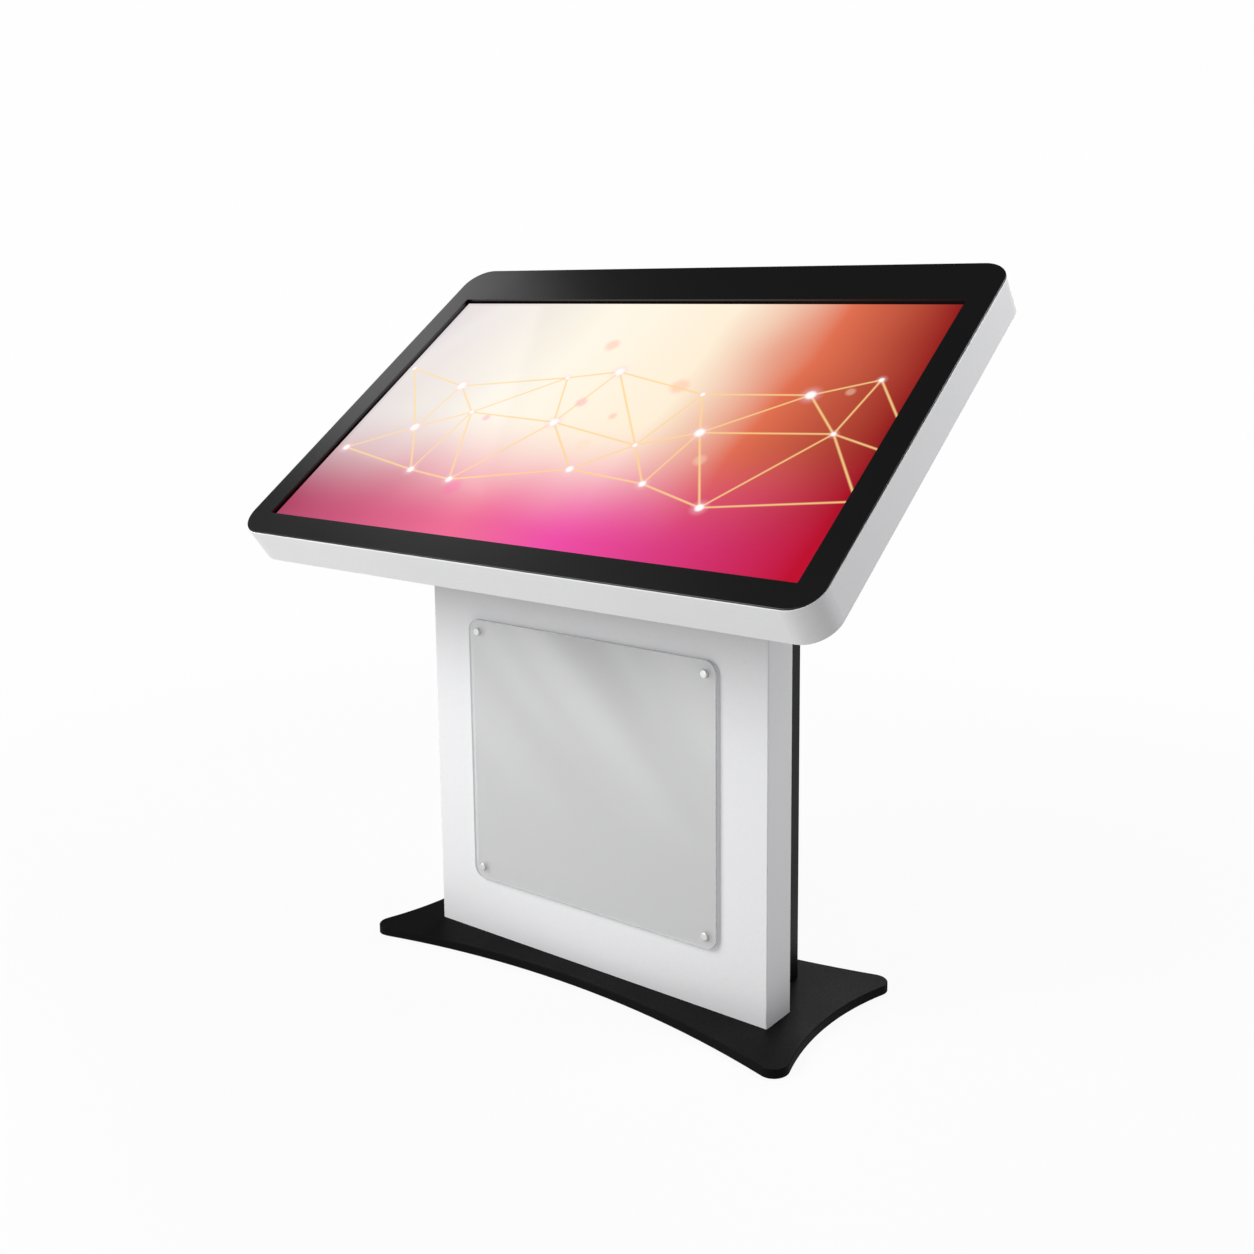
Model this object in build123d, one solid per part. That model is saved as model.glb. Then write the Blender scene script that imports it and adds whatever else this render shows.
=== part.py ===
from build123d import *
import os
from math import cos, radians, sin, sqrt, tan

# Touchscreen kiosk: a 43-inch landscape screen in a tilted head, on a folded steel column that
# stands on a hollow-sided base plate.
#
# Row frame, millimetres: origin on the floor under the middle of the base plate, +Z up,
# +X to the right of a person at the screen, +Y away from that person.
# Head frame: U across the glass (the row's X), V up its slope, W out of the glass. Its origin is the
# middle of the bezel's face, and every head piece is drawn there and then set on the slope.

# ---------------------------------------------------------------- screen and head
active_w = 941.2            # lit area of a 43-inch panel
active_h = 529.4
picture_gap = 3.4           # lit area to the bezel's opening
side_margin = 40.0          # bezel at the left and right
near_margin = 41.5          # bezel at the user's edge
far_margin = 84.0           # bezel at the far edge
bezel_t = 2.0
bezel_corner_r = 44.0
bezel_edge_r = 1.2
opening_corner_r = 1.5
edge_reveal = 1.0           # the white band stands this far outside the bezel
head_t = 60.5
head_tilt = 36.9            # slope of the glass from the horizontal, degrees
head_y = -24.0              # middle of the bezel's face
head_z = 868.0
sheet = 1.5                 # folded sheet steel of the head and the column
band_edge_r = 1.0
band_lip = 12.0             # folded lips of the band, under the bezel and behind the rear cover
band_mouth_r = 12.0         # corners of the mouth inside those lips
cover_gap = 0.25            # rear cover inside the band, all round
cover_screw_in = (30.0, 40.0)  # corner screws in from the ends, on the long and the short sides
cover_screw_counts = (7, 2)

# Touch frame and glass, from the bezel inwards
filter_t = 4.5              # height of the infrared filter bars
filter_w = 6.0
filter_setback = 0.5        # filter bars behind the opening's edge
sensor_board_w = 13.0
sensor_board_t = 1.6
glass_t = 4.0
glass_edge_r = 4.0
frame_bar_w = 12.0          # the inner frame that the glass rests on

# Display module
module_side = 14.0          # module's edge outside the lit area, left and right
module_end = 16.0           # the same, near and far
module_to_frame = 0.5       # display module inside the inner frame
gasket_t = 1.0
gasket_w = 6.0
module_sheet = 1.2
module_lap = 2.0            # front frame's lip outside the lit area
module_depth = 9.0
cell_t = 1.5
diffuser_t = 1.5
guide_t = 3.0
guide_gap = 6.0             # light guide to the module's near and far walls, for the LED bars
led_bar_t = 2.0

# Rails, boards and speakers in the head
rail_pitch = 400.0
rail_w = 40.0
rail_sheet = 2.0
board_t = 1.6
standoff_h = 8.0
standoff_r = 3.0
scaler_size = (160.0, 110.0)
scaler_at = (40.0, 160.0)
scaler_chips = (            # across, up, width, length, height of each chip on the board
    (-45.0, 20.0, 26.0, 26.0, 2.2),
    (10.0, -10.0, 34.0, 34.0, 3.0),
    (50.0, 25.0, 22.0, 16.0, 2.0),
)
touch_board_size = (60.0, 60.0)
touch_board_at = (-115.0, 135.0)
touch_chip = (18.0, 18.0, 2.0)
board_hole_in = 6.0         # a board's edge to the middle of its mounting holes
speaker_size = (120.0, 46.0, 22.0)
speaker_at = (340.0, -200.0)
speaker_wall = 2.0
speaker_corner_r = 6.0
speaker_slot = (72.0, 3.0)
speaker_slot_pitch = 7.0
cone_r = 18.0
cone_depth = 8.0
cone_offset = 28.0          # a cone's middle from the middle of its box
magnet_r = 9.0
magnet_h = 6.0
vent_slot = (40.0, 4.0)
vent_pitch = (60.0, 12.0)
vent_count = (9, 3)
vent_v = 255.0

# ---------------------------------------------------------------- base
base_w = 808.0              # sharp corner to sharp corner, before they are rounded
base_d = 336.0
base_t = 13.0
mat_t = 2.0                 # rubber sheet under the plate
mat_inset = 4.0
base_long_hollow = 57.0     # how far the front and back edges curve in
base_side_hollow = 36.0
base_corner_r = 22.0
base_edge_r = 1.2

# ---------------------------------------------------------------- column
column_w = 632.0
column_front_y = -73.0
column_d = 61.0             # white front shell
rear_d = 93.0               # black rear box behind it
rear_step = 45.0            # the rear box is narrower by this on each side
bend_r = 1.8
joint_gap = 0.3             # between the white returns and the black box
rear_flange = 28.0
rear_screw_end = 60.0       # the flange's ends to its first and last screws
rear_screw_count = 4

post_w = 30.0
post_d = 50.0
post_sheet = 2.5
post_inset = 4.5            # post to the rear box's inner side
rail_bar_t = 4.5            # flat bars between the posts and the front shell
rail_bar_h = 30.0
rail_bar_low = 70.0         # floor to the lower bar
rail_bar_drop = 165.0       # the head's underside, at the column's front, down to the upper bar
foot_t = 8.0
foot_w = 60.0
foot_d = 118.0
foot_past_post = 3.0        # foot's edge outside the post
gusset_t = 6.0
gusset_h = 100.0
gusset_run = 52.0
cradle_t = 5.0
cradle_gap = 2.5            # cradle plate inside the column's skin
cradle_corner_r = 6.0

# Bolts: base to feet, cradle to rails
base_bolt_r = 5.0
base_bolt_head_r = 9.6
base_bolt_head_h = 5.0
base_bolt_gap = 0.3
base_bolt_x = 17.0          # half spacing across a foot
base_bolt_y = 44.0          # half spacing along a foot
cradle_bolt_r = 4.0
cradle_bolt_gap = 0.3
cradle_bolt_head_r = 7.0
cradle_bolt_head_h = 5.3
cradle_bolt_v = 58.0        # half spacing up the slope
cradle_bolt_tail = 3.0      # thread past the nut
nut_h = 6.5
washer_r = 8.0
washer_t = 1.6
grommet_r = 30.0            # hole for the cables, in the cradle and the rear cover
grommet_wall = 3.0
grommet_flange = 7.0
grommet_flange_t = 2.5
grommet_rise = 7.0          # hole up the slope from the cables, which bend that way

# Poster panel on the column's front
poster_w = 470.0
poster_h = 420.0
poster_t = 4.0
poster_corner_r = 20.0
poster_z = 318.0            # middle of the panel
poster_bolt_x = 432.0       # bolt to bolt
poster_bolt_z = 381.0
poster_bolt_r = 2.5
poster_bolt_gap = 0.25
poster_bolt_tail = 6.0
poster_cap_r = 6.0
poster_cap_h = 3.2
poster_spacer_r = 6.0
poster_spacer_t = 3.0
poster_nut_r = 4.6
poster_nut_h = 4.0

# Service door in the back
door_rim = 45.0             # frame left standing beside the door
door_sill = 75.0            # floor to the underside of the door
door_gap = 2.0
door_return = 10.0
door_head_rim = 20.0        # between the door and the fans
hinge_r = 4.0
hinge_pin_r = 2.0
hinge_clear = 0.05
hinge_leaf_t = 2.0
hinge_leaf_w = 22.0
hinge_h = 60.0
hinge_split = 0.3
hinge_leaf_gap = 0.5        # knuckle to the leaf beside it
hinge_tab_in = 1.0          # where a knuckle's tab starts, out from the pin's middle
hinge_pin_head = (3.0, 1.5)
door_edge_r = 0.8
hinge_from_end = 90.0       # door's end to the middle of a hinge
louvre_count = 9
louvre_pitch = 11.0
louvre_size = (180.0, 4.0)
louvre_above_sill = 60.0

# Cam lock
lock_in = 25.0              # lock's axis inside the door's free edge
lock_r = 8.0
lock_gap = 0.1
lock_flange_r = 11.0
lock_flange_t = 2.0
lock_depth = 13.0           # barrel behind the door's face
plug_r = 5.5
plug_clear = 0.05
key_slot = (1.4, 7.0, 6.0)
cam_w = 14.0
cam_t = 2.5
cam_reach = 36.0
cam_screw_r = 3.5
cam_screw_h = 2.0
cam_play = 0.2              # cam behind the barrel's end
lock_edge_r = 0.6
lock_nut_r = 11.5
lock_nut_t = 4.0

# Fans above the door
fan_size = 80.0
fan_depth = 25.0
fan_duct_r = 38.0
fan_hub_r = 16.0
fan_tip_gap = 1.5
fan_x = 60.0
fan_drop = 82.0             # top of the rear box to the fans' middle
fan_corner_r = 4.0
fan_strut = (3.0, 4.0)      # a strut's depth and width
fan_hub_depth = 8.0         # motor on the inner side
fan_shaft_end = 6.0         # shaft short of the fan's outer face
fan_rotor_gap = (1.0, 3.0)  # rotor to the motor and to the outer face
fan_shaft_r = 1.5
fan_shaft_clear = 0.05
fan_blades = 7
fan_blade_t = 1.6
fan_blade_turn = 40.0
fan_blade_chord = 13.0
fan_screw_pitch = 71.5
fan_screw_r = 2.0
grille_slot_h = 4.0
grille_pitch = 8.0

# Power inlet with its rocker switch
inlet_x = 140.0
inlet_z = 45.0
inlet_flange = (60.0, 31.0, 3.0)
inlet_body = (50.0, 26.0, 22.0)
inlet_clear = 0.3
socket_x = -10.5
socket_size = (24.0, 17.0, 16.0)
socket_corner_r = 3.0
inlet_pin = (2.0, 4.0, 14.0)
inlet_pin_pitch = 14.0
inlet_pin_rise = (2.0, -2.0)  # earth pin above the middle, live and neutral below it
rocker_x = 15.0
rocker_size = (12.0, 18.0)
rocker_clear = 0.5
rocker_tilt = 8.0
rocker_depth = 13.0
rocker_profile = (          # depth and height of its corners: two raised ends and a dip between
    (-2.5, -6.5),
    (4.2, -9.0),
    (2.4, 0.0),
    (4.2, 9.0),
    (-2.5, 6.5),
    (-5.5, 0.0),
)
rocker_axis_in = 3.0        # pivot behind the flange's face
rocker_pin_r = 1.2
rocker_pin_clear = 0.05
rocker_pin_in = 1.3         # pin into the housing, past the rocker's clearance
rocker_pin_end = 0.2

# Equipment plate in the column, with the computer and the power supply
plate_t = 2.0
plate_above_gusset = 7.0
plate_drop = 171.0          # the cradle plate down to the plate's top
plate_side_gap = 4.0
plate_screw_end = 25.0      # the plate's ends to its first and last screws
small_screw_r = 2.0
small_head_r = 3.8
small_head_h = 2.2
pc_size = (180.0, 150.0, 38.0)
pc_at = (-90.0, 375.0)
pc_wall = 1.5
pc_corner_r = 3.0
pc_lid_t = 3.0
pc_fin_h = 6.0
pc_fin_t = 2.0
pc_fins = 13
pc_fin_side = 14.0          # lid's edge to the outer fins
pc_fin_ends = (30.0, 6.0)   # lid's lower and upper edges to the fins
pc_board_lift = 8.0
pc_board_gap = 6.0
pc_post_in = 12.0
pc_sink = (80.0, 12.0, 60.0)
button_r = 5.0
button_clear = 0.1
button_proud = 1.5
button_collar = 1.2         # collar that keeps the button behind the lid
button_collar_t = 2.0
button_play = 0.2           # collar behind the lid
button_edge_r = 0.6
button_at = (70.0, -58.0)
psu_size = (98.0, 199.0, 36.0)
psu_at = (140.0, 300.0)
psu_board_lift = 3.0
psu_board_gap = 4.0
psu_board_ends = (20.0, 6.0)
psu_coil = (44.0, 22.0, 44.0)
psu_cap = (8.0, 30.0)       # radius and length of a capacitor
psu_cap_x = 18.0
psu_cap_drop = 60.0         # the case's middle down to the capacitors' lower ends
psu_slots = 6
psu_slot = (59.0, 4.0)
psu_slot_pitch = 14.0
psu_slot_drop = 30.0
terminal_size = (78.0, 14.0, 18.0)
terminal_screws = 7
terminal_screw_r = 3.0
terminal_screw_depth = 6.0

# Cables inside the kiosk
lead_r = 3.0
lead_lift = 14.0            # cable's middle off the equipment plate
lead_pitch = 18.0
lead_plug = (16.0, 9.0, 22.0)
lead_in_head = 13.0         # cable's middle off the rear cover
lead_rise = 40.0            # plate's top to the cables' first bend
lead_turn_in = 40.0         # straight run into a board's plug
lead_side_step = 45.0       # grommet to where the touch cable leaves the others
lead_drop = 34.0            # display lead's loop under the power supply
lead_loop = 22.0
lead_beside = 24.0          # display lead beside the power supply

os.makedirs("parts", exist_ok=True)

# ---------------------------------------------------------------- sizes that follow
opening_w = active_w + 2 * picture_gap
opening_h = active_h + 2 * picture_gap
bezel_w = opening_w + 2 * side_margin
bezel_l = opening_h + near_margin + far_margin
head_w = bezel_w + 2 * edge_reveal
head_l = bezel_l + 2 * edge_reveal
head_corner_r = bezel_corner_r + edge_reveal
screen_v = -bezel_l / 2 + near_margin + opening_h / 2

module_w = active_w + 2 * module_side
module_h = active_h + 2 * module_end
glass_w = module_w + 2 * (module_to_frame + frame_bar_w)
glass_h = module_h + 2 * (module_to_frame + frame_bar_w)

glass_top = -bezel_t - filter_t
glass_back = glass_top - glass_t
module_top = glass_back - gasket_t
module_back = module_top - module_depth
cover_back = -head_t
cover_front = cover_back + sheet

tilt_sin = sin(radians(head_tilt))
tilt_cos = cos(radians(head_tilt))
on_slope = Pos(0, head_y, head_z) * Rot(head_tilt, 0, 0)

base_top = mat_t + base_t
column_back_y = column_front_y + column_d
rear_back_y = column_back_y + rear_d
rear_w = column_w - 2 * rear_step
rear_inner_x = rear_w / 2 - sheet


def slope_z(y, w):
    """Height above the floor of the plane W = w, at depth y."""
    return head_z + (w + tilt_sin * (y - head_y)) / tilt_cos


def slope_v(y, w):
    """Place up the slope, in the plane W = w, that stands at depth y."""
    return (y - head_y + w * tilt_sin) / tilt_cos


post_x = rear_inner_x - post_inset - post_w / 2
post_front_y = column_front_y + sheet + rail_bar_t
post_back_y = post_front_y + post_d
rail_bar_high = slope_z(column_front_y, cover_back) - rail_bar_drop
foot_x = rear_inner_x - post_inset + foot_past_post - foot_w / 2
foot_y = post_front_y + foot_d / 2
plate_y = post_back_y
plate_bottom = base_top + foot_t + gusset_h + plate_above_gusset
plate_top = slope_z(plate_y, cover_back - cradle_t) - plate_drop
device_y = plate_y + plate_t
lead_y = device_y + lead_lift
lead_w = cover_front + lead_in_head
grommet_v = slope_v(lead_y, cover_back) + grommet_rise

rear_top_z = slope_z(rear_back_y, cover_back)
fan_z = rear_top_z - fan_drop
door_opening_w = rear_w - 2 * door_rim
door_w = door_opening_w - 2 * door_gap
door_top = fan_z - fan_size / 2 - door_head_rim
door_bottom = door_sill + door_gap
door_h = door_top - door_gap - door_bottom
door_mid_z = door_bottom + door_h / 2
hinge_x = -door_opening_w / 2 + door_gap / 2
hinge_y = rear_back_y + hinge_r
hinge_places = (door_bottom + hinge_from_end, door_bottom + door_h - hinge_from_end)
lock_x = door_w / 2 - lock_in
cradle_v0 = slope_v(column_front_y + sheet, cover_back) + cradle_gap
cradle_v1 = slope_v(rear_back_y - sheet, cover_back - cradle_t) - cradle_gap
cradle_v = (cradle_v0 + cradle_v1) / 2
cradle_l = cradle_v1 - cradle_v0
cradle_w = 2 * (rear_inner_x - cradle_gap)


# ---------------------------------------------------------------- small helpers
def block(x, y, z):
    """A rectangular block between two x, two y and two z values."""
    size = [high - low for low, high in (x, y, z)]
    middle = [(low + high) / 2 for low, high in (x, y, z)]
    return Pos(*middle) * Box(*size)


def slab(width, length, radius, w, v=0.0):
    """A round-cornered plate in the head, between two W levels."""
    return Pos(0, v, w[0]) * extrude(RectangleRounded(width, length, radius), amount=w[1] - w[0])


def ring(width, length, radius, wall, w, v=0.0):
    """A round-cornered frame in the head, its wall measured inwards."""
    inner_r = max(radius - wall, 0.4)
    hole = slab(width - 2 * wall, length - 2 * wall, inner_r, (w[0] - 1, w[1] + 1), v)
    return slab(width, length, radius, w, v) - hole


def rod_z(radius, x, y, z):
    """A round rod along Z between two heights."""
    return Pos(x, y, (z[0] + z[1]) / 2) * Cylinder(radius, z[1] - z[0])


def rod_y(radius, x, y, z):
    """A round rod along Y between two depths."""
    return Pos(x, (y[0] + y[1]) / 2, z) * Rot(90, 0, 0) * Cylinder(radius, y[1] - y[0])


def rod_x(radius, x, y, z):
    """A round rod along X between two places."""
    return Pos((x[0] + x[1]) / 2, y, z) * Rot(0, 90, 0) * Cylinder(radius, x[1] - x[0])


def group(pieces):
    """Several separate solids kept as one node, not joined where they touch."""
    return Compound([solid for piece in pieces for solid in piece.solids()])


def below_head(shape, w):
    """Cuts away whatever of a column piece stands above the plane W = w."""
    reach = 3 * head_l
    cutter = on_slope * Pos(0, 0, w + reach / 2) * Box(reach + column_w, reach, reach)
    return shape - cutter


def perimeter(width, length, across, along):
    """Points round a rectangle: so many along each width, so many between them on each side."""
    points = []
    for i in range(across):
        u = -width / 2 + width * i / (across - 1)
        points += [(u, -length / 2), (u, length / 2)]
    for i in range(1, along + 1):
        v = -length / 2 + length * i / (along + 1)
        points += [(-width / 2, v), (width / 2, v)]
    return points


def pan_screw(radius, length, head_r, head_h):
    """A round-headed screw along Z, its head above Z = 0 and its shank below."""
    head = Pos(0, 0, head_h / 2) * Cylinder(head_r, head_h)
    head = fillet(head.edges().group_by(Axis.Z)[-1], head_h * 0.45)
    return head + Pos(0, 0, -length / 2) * Cylinder(radius, length)


# ---------------------------------------------------------------- base
def base_outline(inset):
    """Outline with four hollow sides and rounded corners."""
    x = base_w / 2 - inset
    y = base_d / 2 - inset
    near = ThreePointArc((-x, -y), (0, -y + base_long_hollow), (x, -y))
    right = ThreePointArc((x, -y), (x - base_side_hollow, 0), (x, y))
    far = ThreePointArc((x, y), (0, y - base_long_hollow), (-x, y))
    left = ThreePointArc((-x, y), (-x + base_side_hollow, 0), (-x, -y))
    face = make_face([near, right, far, left])
    return fillet(face.vertices(), base_corner_r - inset / 2)


def base_bolt_places():
    return [
        (side * foot_x + i * base_bolt_x, foot_y + j * base_bolt_y)
        for side in (-1, 1)
        for i in (-1, 1)
        for j in (-1, 1)
    ]


def countersink(gap, z):
    """Shape of a flat-headed screw's head, wide end down at z."""
    low_r = base_bolt_head_r + gap
    high_r = base_bolt_r + gap
    return Pos(0, 0, z + base_bolt_head_h / 2) * Cone(low_r, high_r, base_bolt_head_h)


def make_base_plate():
    plate = Pos(0, 0, mat_t) * extrude(base_outline(0), amount=base_t)
    plate = fillet(plate.edges().group_by(Axis.Z)[-1], base_edge_r)
    cuts = []
    for x, y in base_bolt_places():
        cuts.append(rod_z(base_bolt_r + base_bolt_gap, x, y, (0, base_top + 1)))
        cuts.append(Pos(x, y, 0) * countersink(base_bolt_gap, mat_t))
    return plate - cuts


def make_base_mat():
    return extrude(base_outline(mat_inset), amount=mat_t)


def make_base_bolts():
    bolts = []
    for x, y in base_bolt_places():
        shank = rod_z(base_bolt_r, x, y, (mat_t + base_bolt_head_h, base_top + foot_t))
        bolts.append(shank + Pos(x, y, 0) * countersink(0, mat_t))
    return group(bolts)


# ---------------------------------------------------------------- column structure
def make_column_feet():
    feet = []
    for side in (-1, 1):
        x = (side * foot_x - foot_w / 2, side * foot_x + foot_w / 2)
        y = (foot_y - foot_d / 2, foot_y + foot_d / 2)
        foot = block(x, y, (base_top, base_top + foot_t))
        holes = [
            rod_z(base_bolt_r, bx, by, (base_top - 1, base_top + foot_t + 1))
            for bx, by in base_bolt_places()
        ]
        feet.append(foot - holes)
    return group(feet)


def make_post(side):
    low = base_top + foot_t
    high = slope_z(post_back_y, cover_back) + 10
    x = (side * post_x - post_w / 2, side * post_x + post_w / 2)
    tube = block(x, (post_front_y, post_back_y), (low, high))
    inner_x = (x[0] + post_sheet, x[1] - post_sheet)
    inner_y = (post_front_y + post_sheet, post_back_y - post_sheet)
    tube -= block(inner_x, inner_y, (low - 1, high + 1))
    return below_head(tube, cover_back - cradle_t)


def make_gussets():
    low = base_top + foot_t
    gussets = []
    for side in (-1, 1):
        corner = [(post_back_y, low), (post_back_y + gusset_run, low), (post_back_y, low + gusset_h)]
        face = make_face(Polyline(*corner, close=True))
        plate = extrude(Plane.YZ * face, amount=gusset_t / 2, both=True)
        gussets.append(Pos(side * post_x, 0, 0) * plate)
    return group(gussets)


def make_rail_bars():
    y = (column_front_y + sheet, post_front_y)
    half = post_x + post_w / 2
    heights = (rail_bar_low, rail_bar_high)
    return group([block((-half, half), y, (z, z + rail_bar_h)) for z in heights])


def cradle_bolt_places():
    return [
        (side * rail_pitch / 2, cradle_v + j * cradle_bolt_v)
        for side in (-1, 1)
        for j in (-1, 0, 1)
    ]


def cradle_holes(low, high):
    """Holes for the six bolts and the cables, through the cradle, cover and rails."""
    holes = [
        rod_z(cradle_bolt_r + cradle_bolt_gap, u, v, (low, high)) for u, v in cradle_bolt_places()
    ]
    return holes + [rod_z(grommet_r, 0, grommet_v, (low, high))]


def make_cradle_plate():
    w = (cover_back - cradle_t, cover_back)
    plate = slab(cradle_w, cradle_l, cradle_corner_r, w, cradle_v)
    return on_slope * (plate - cradle_holes(cover_back - cradle_t - 1, cover_back + 1))


def make_cradle_bolts():
    low = cover_back - cradle_t - washer_t
    high = cover_front + rail_sheet
    bolts = []
    for u, v in cradle_bolt_places():
        head = extrude(RegularPolygon(cradle_bolt_head_r, 6), amount=-cradle_bolt_head_h)
        shank = rod_z(cradle_bolt_r, u, v, (low - 1, high + nut_h + cradle_bolt_tail))
        bolts.append(Pos(u, v, low) * head + shank)
    return on_slope * group(bolts)


def make_cradle_washers():
    high = cover_back - cradle_t
    washers = []
    for u, v in cradle_bolt_places():
        washer = rod_z(washer_r, u, v, (high - washer_t, high))
        washers.append(washer - rod_z(cradle_bolt_r + cradle_bolt_gap, u, v, (high - 5, high + 1)))
    return on_slope * group(washers)


def make_cradle_nuts():
    low = cover_front + rail_sheet
    nuts = []
    for u, v in cradle_bolt_places():
        nut = Pos(u, v, low) * extrude(RegularPolygon(cradle_bolt_head_r, 6), amount=nut_h)
        nuts.append(nut - rod_z(cradle_bolt_r, u, v, (low - 1, low + nut_h + 1)))
    return on_slope * group(nuts)


def make_cable_grommet():
    low = cover_back - cradle_t
    wide = grommet_r + grommet_flange
    body = rod_z(grommet_r, 0, grommet_v, (low, cover_front))
    body += rod_z(wide, 0, grommet_v, (low - grommet_flange_t, low))
    body += rod_z(wide, 0, grommet_v, (cover_front, cover_front + grommet_flange_t))
    bore = rod_z(grommet_r - grommet_wall, 0, grommet_v, (low - 9, cover_front + 9))
    return on_slope * (body - bore)


# ---------------------------------------------------------------- column skin
def poster_bolt_places():
    return [
        (i * poster_bolt_x / 2, poster_z + j * poster_bolt_z / 2) for i in (-1, 1) for j in (-1, 1)
    ]


def make_column_front_shell():
    top = slope_z(column_back_y, cover_back) + 10
    outer = Rectangle(column_w, column_d)
    outer = fillet(outer.vertices(), bend_r)
    hollow = Rectangle(column_w - 2 * sheet, column_d - 2 * sheet)
    hollow = fillet(hollow.vertices(), 0.4)
    half_gap = rear_w / 2 + joint_gap
    mouth = Pos(0, column_d / 2) * Rectangle(2 * half_gap, 4 * sheet)
    shell = extrude(outer - hollow - mouth, amount=top - base_top)
    shell = Pos(0, column_front_y + column_d / 2, base_top) * shell
    y = (column_front_y - 1, column_front_y + sheet + 1)
    holes = [rod_y(poster_bolt_r + poster_bolt_gap, x, y, z) for x, z in poster_bolt_places()]
    return below_head(shell - holes, cover_back)


def grille_slots(x_mid):
    """Level slots that fill a circle in front of one fan."""
    slots = []
    count = int(fan_duct_r / grille_pitch)
    for i in range(-count, count + 1):
        rise = i * grille_pitch
        length = 2 * sqrt(max((fan_duct_r - 2) ** 2 - rise**2, 0))
        if length > 4 * grille_slot_h:
            slot = extrude(SlotOverall(length, grille_slot_h), amount=4 * sheet, both=True)
            slots.append(Pos(x_mid, rear_back_y, fan_z + rise) * Rot(90, 0, 0) * slot)
    return slots


def fan_screw_places(x_mid):
    half = fan_screw_pitch / 2
    return [(x_mid + i * half, fan_z + j * half) for i in (-1, 1) for j in (-1, 1)]


def make_rear_box_shell():
    low = base_top
    high = rear_top_z + 10
    flange_y = column_back_y - sheet
    side_y = (flange_y - sheet, rear_back_y)
    shell = block((-rear_w / 2, rear_w / 2), side_y, (low, high))
    shell = fillet(shell.edges().filter_by(Axis.Z).group_by(Axis.Y)[-1], bend_r)
    hollow_y = (side_y[0] - 1, rear_back_y - sheet)
    shell -= block((-rear_inner_x, rear_inner_x), hollow_y, (low - 1, high + 1))
    for side in (-1, 1):
        x = sorted((side * rear_w / 2, side * (rear_w / 2 + rear_flange)))
        shell += block(x, (flange_y - sheet, flange_y), (low, high))
    # Door opening with its return lips, then the fans' slots and the inlet's cut-out.
    half = door_opening_w / 2
    lip_y = (rear_back_y - door_return, rear_back_y - sheet)
    lips = block((-half - sheet, half + sheet), lip_y, (door_sill - sheet, door_top + sheet))
    shell += lips
    shell -= block((-half, half), (lip_y[0] - 1, rear_back_y + 1), (door_sill, door_top))
    cuts = []
    for x_mid in (-fan_x, fan_x):
        cuts += grille_slots(x_mid)
        y = (rear_back_y - sheet - 1, rear_back_y + 1)
        cuts += [rod_y(fan_screw_r, x, y, z) for x, z in fan_screw_places(x_mid)]
    body_w = inlet_body[0] / 2 + inlet_clear
    body_h = inlet_body[1] / 2 + inlet_clear
    x = (inlet_x - body_w, inlet_x + body_w)
    cuts.append(block(x, (rear_back_y - 4, rear_back_y + 1), (inlet_z - body_h, inlet_z + body_h)))
    return below_head(shell - cuts, cover_back)


def make_rear_box_screws():
    """Pan-head screws through the white returns into the black box's flanges."""
    screws = []
    x = rear_w / 2 + rear_flange / 2
    low = base_top + rear_screw_end
    high = slope_z(column_back_y, cover_back) - rear_screw_end
    for side in (-1, 1):
        for i in range(rear_screw_count):
            z = low + i * (high - low) / (rear_screw_count - 1)
            screw = pan_screw(small_screw_r, 2 * sheet + 4, small_head_r, small_head_h)
            screws.append(Pos(side * x, column_back_y, z) * Rot(-90, 0, 0) * screw)
    return screws


def without_screws(shape, screws):
    """Opens the holes that the screws sit in."""
    return shape - screws


# ---------------------------------------------------------------- poster panel
def make_poster_panel():
    y_back = column_front_y - poster_spacer_t
    face = RectangleRounded(poster_w, poster_h, poster_corner_r)
    panel = Pos(0, y_back, poster_z) * Rot(90, 0, 0) * extrude(face, amount=poster_t)
    y = (y_back - poster_t - 1, y_back + 1)
    holes = [rod_y(poster_bolt_r + poster_bolt_gap, x, y, z) for x, z in poster_bolt_places()]
    return panel - holes


def make_poster_spacers():
    y = (column_front_y - poster_spacer_t, column_front_y)
    spacers = []
    for x, z in poster_bolt_places():
        bore = rod_y(poster_bolt_r + poster_bolt_gap, x, (y[0] - 1, y[1] + 1), z)
        spacers.append(rod_y(poster_spacer_r, x, y, z) - bore)
    return group(spacers)


def make_poster_bolts():
    seat = column_front_y - poster_spacer_t - poster_t
    bolts = []
    for x, z in poster_bolt_places():
        length = column_front_y + sheet + poster_bolt_tail - seat
        bolt = pan_screw(poster_bolt_r, length, poster_cap_r, poster_cap_h)
        bolts.append(Pos(x, seat, z) * Rot(90, 0, 0) * bolt)
    return group(bolts)


def make_poster_nuts():
    y = column_front_y + sheet
    nuts = []
    for x, z in poster_bolt_places():
        nut = Rot(-90, 0, 0) * extrude(RegularPolygon(poster_nut_r, 6), amount=poster_nut_h)
        nut = Pos(x, y, z) * nut
        nuts.append(nut - rod_y(poster_bolt_r, x, (y - 1, y + 9), z))
    return group(nuts)


# ---------------------------------------------------------------- head shell
def make_front_bezel():
    plate = slab(bezel_w, bezel_l, bezel_corner_r, (-bezel_t, 0))
    plate = fillet(plate.edges().group_by(Axis.Z)[-1], bezel_edge_r)
    opening = slab(opening_w, opening_h, opening_corner_r, (-bezel_t - 1, 1), screen_v)
    return on_slope * (plate - opening)


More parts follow.
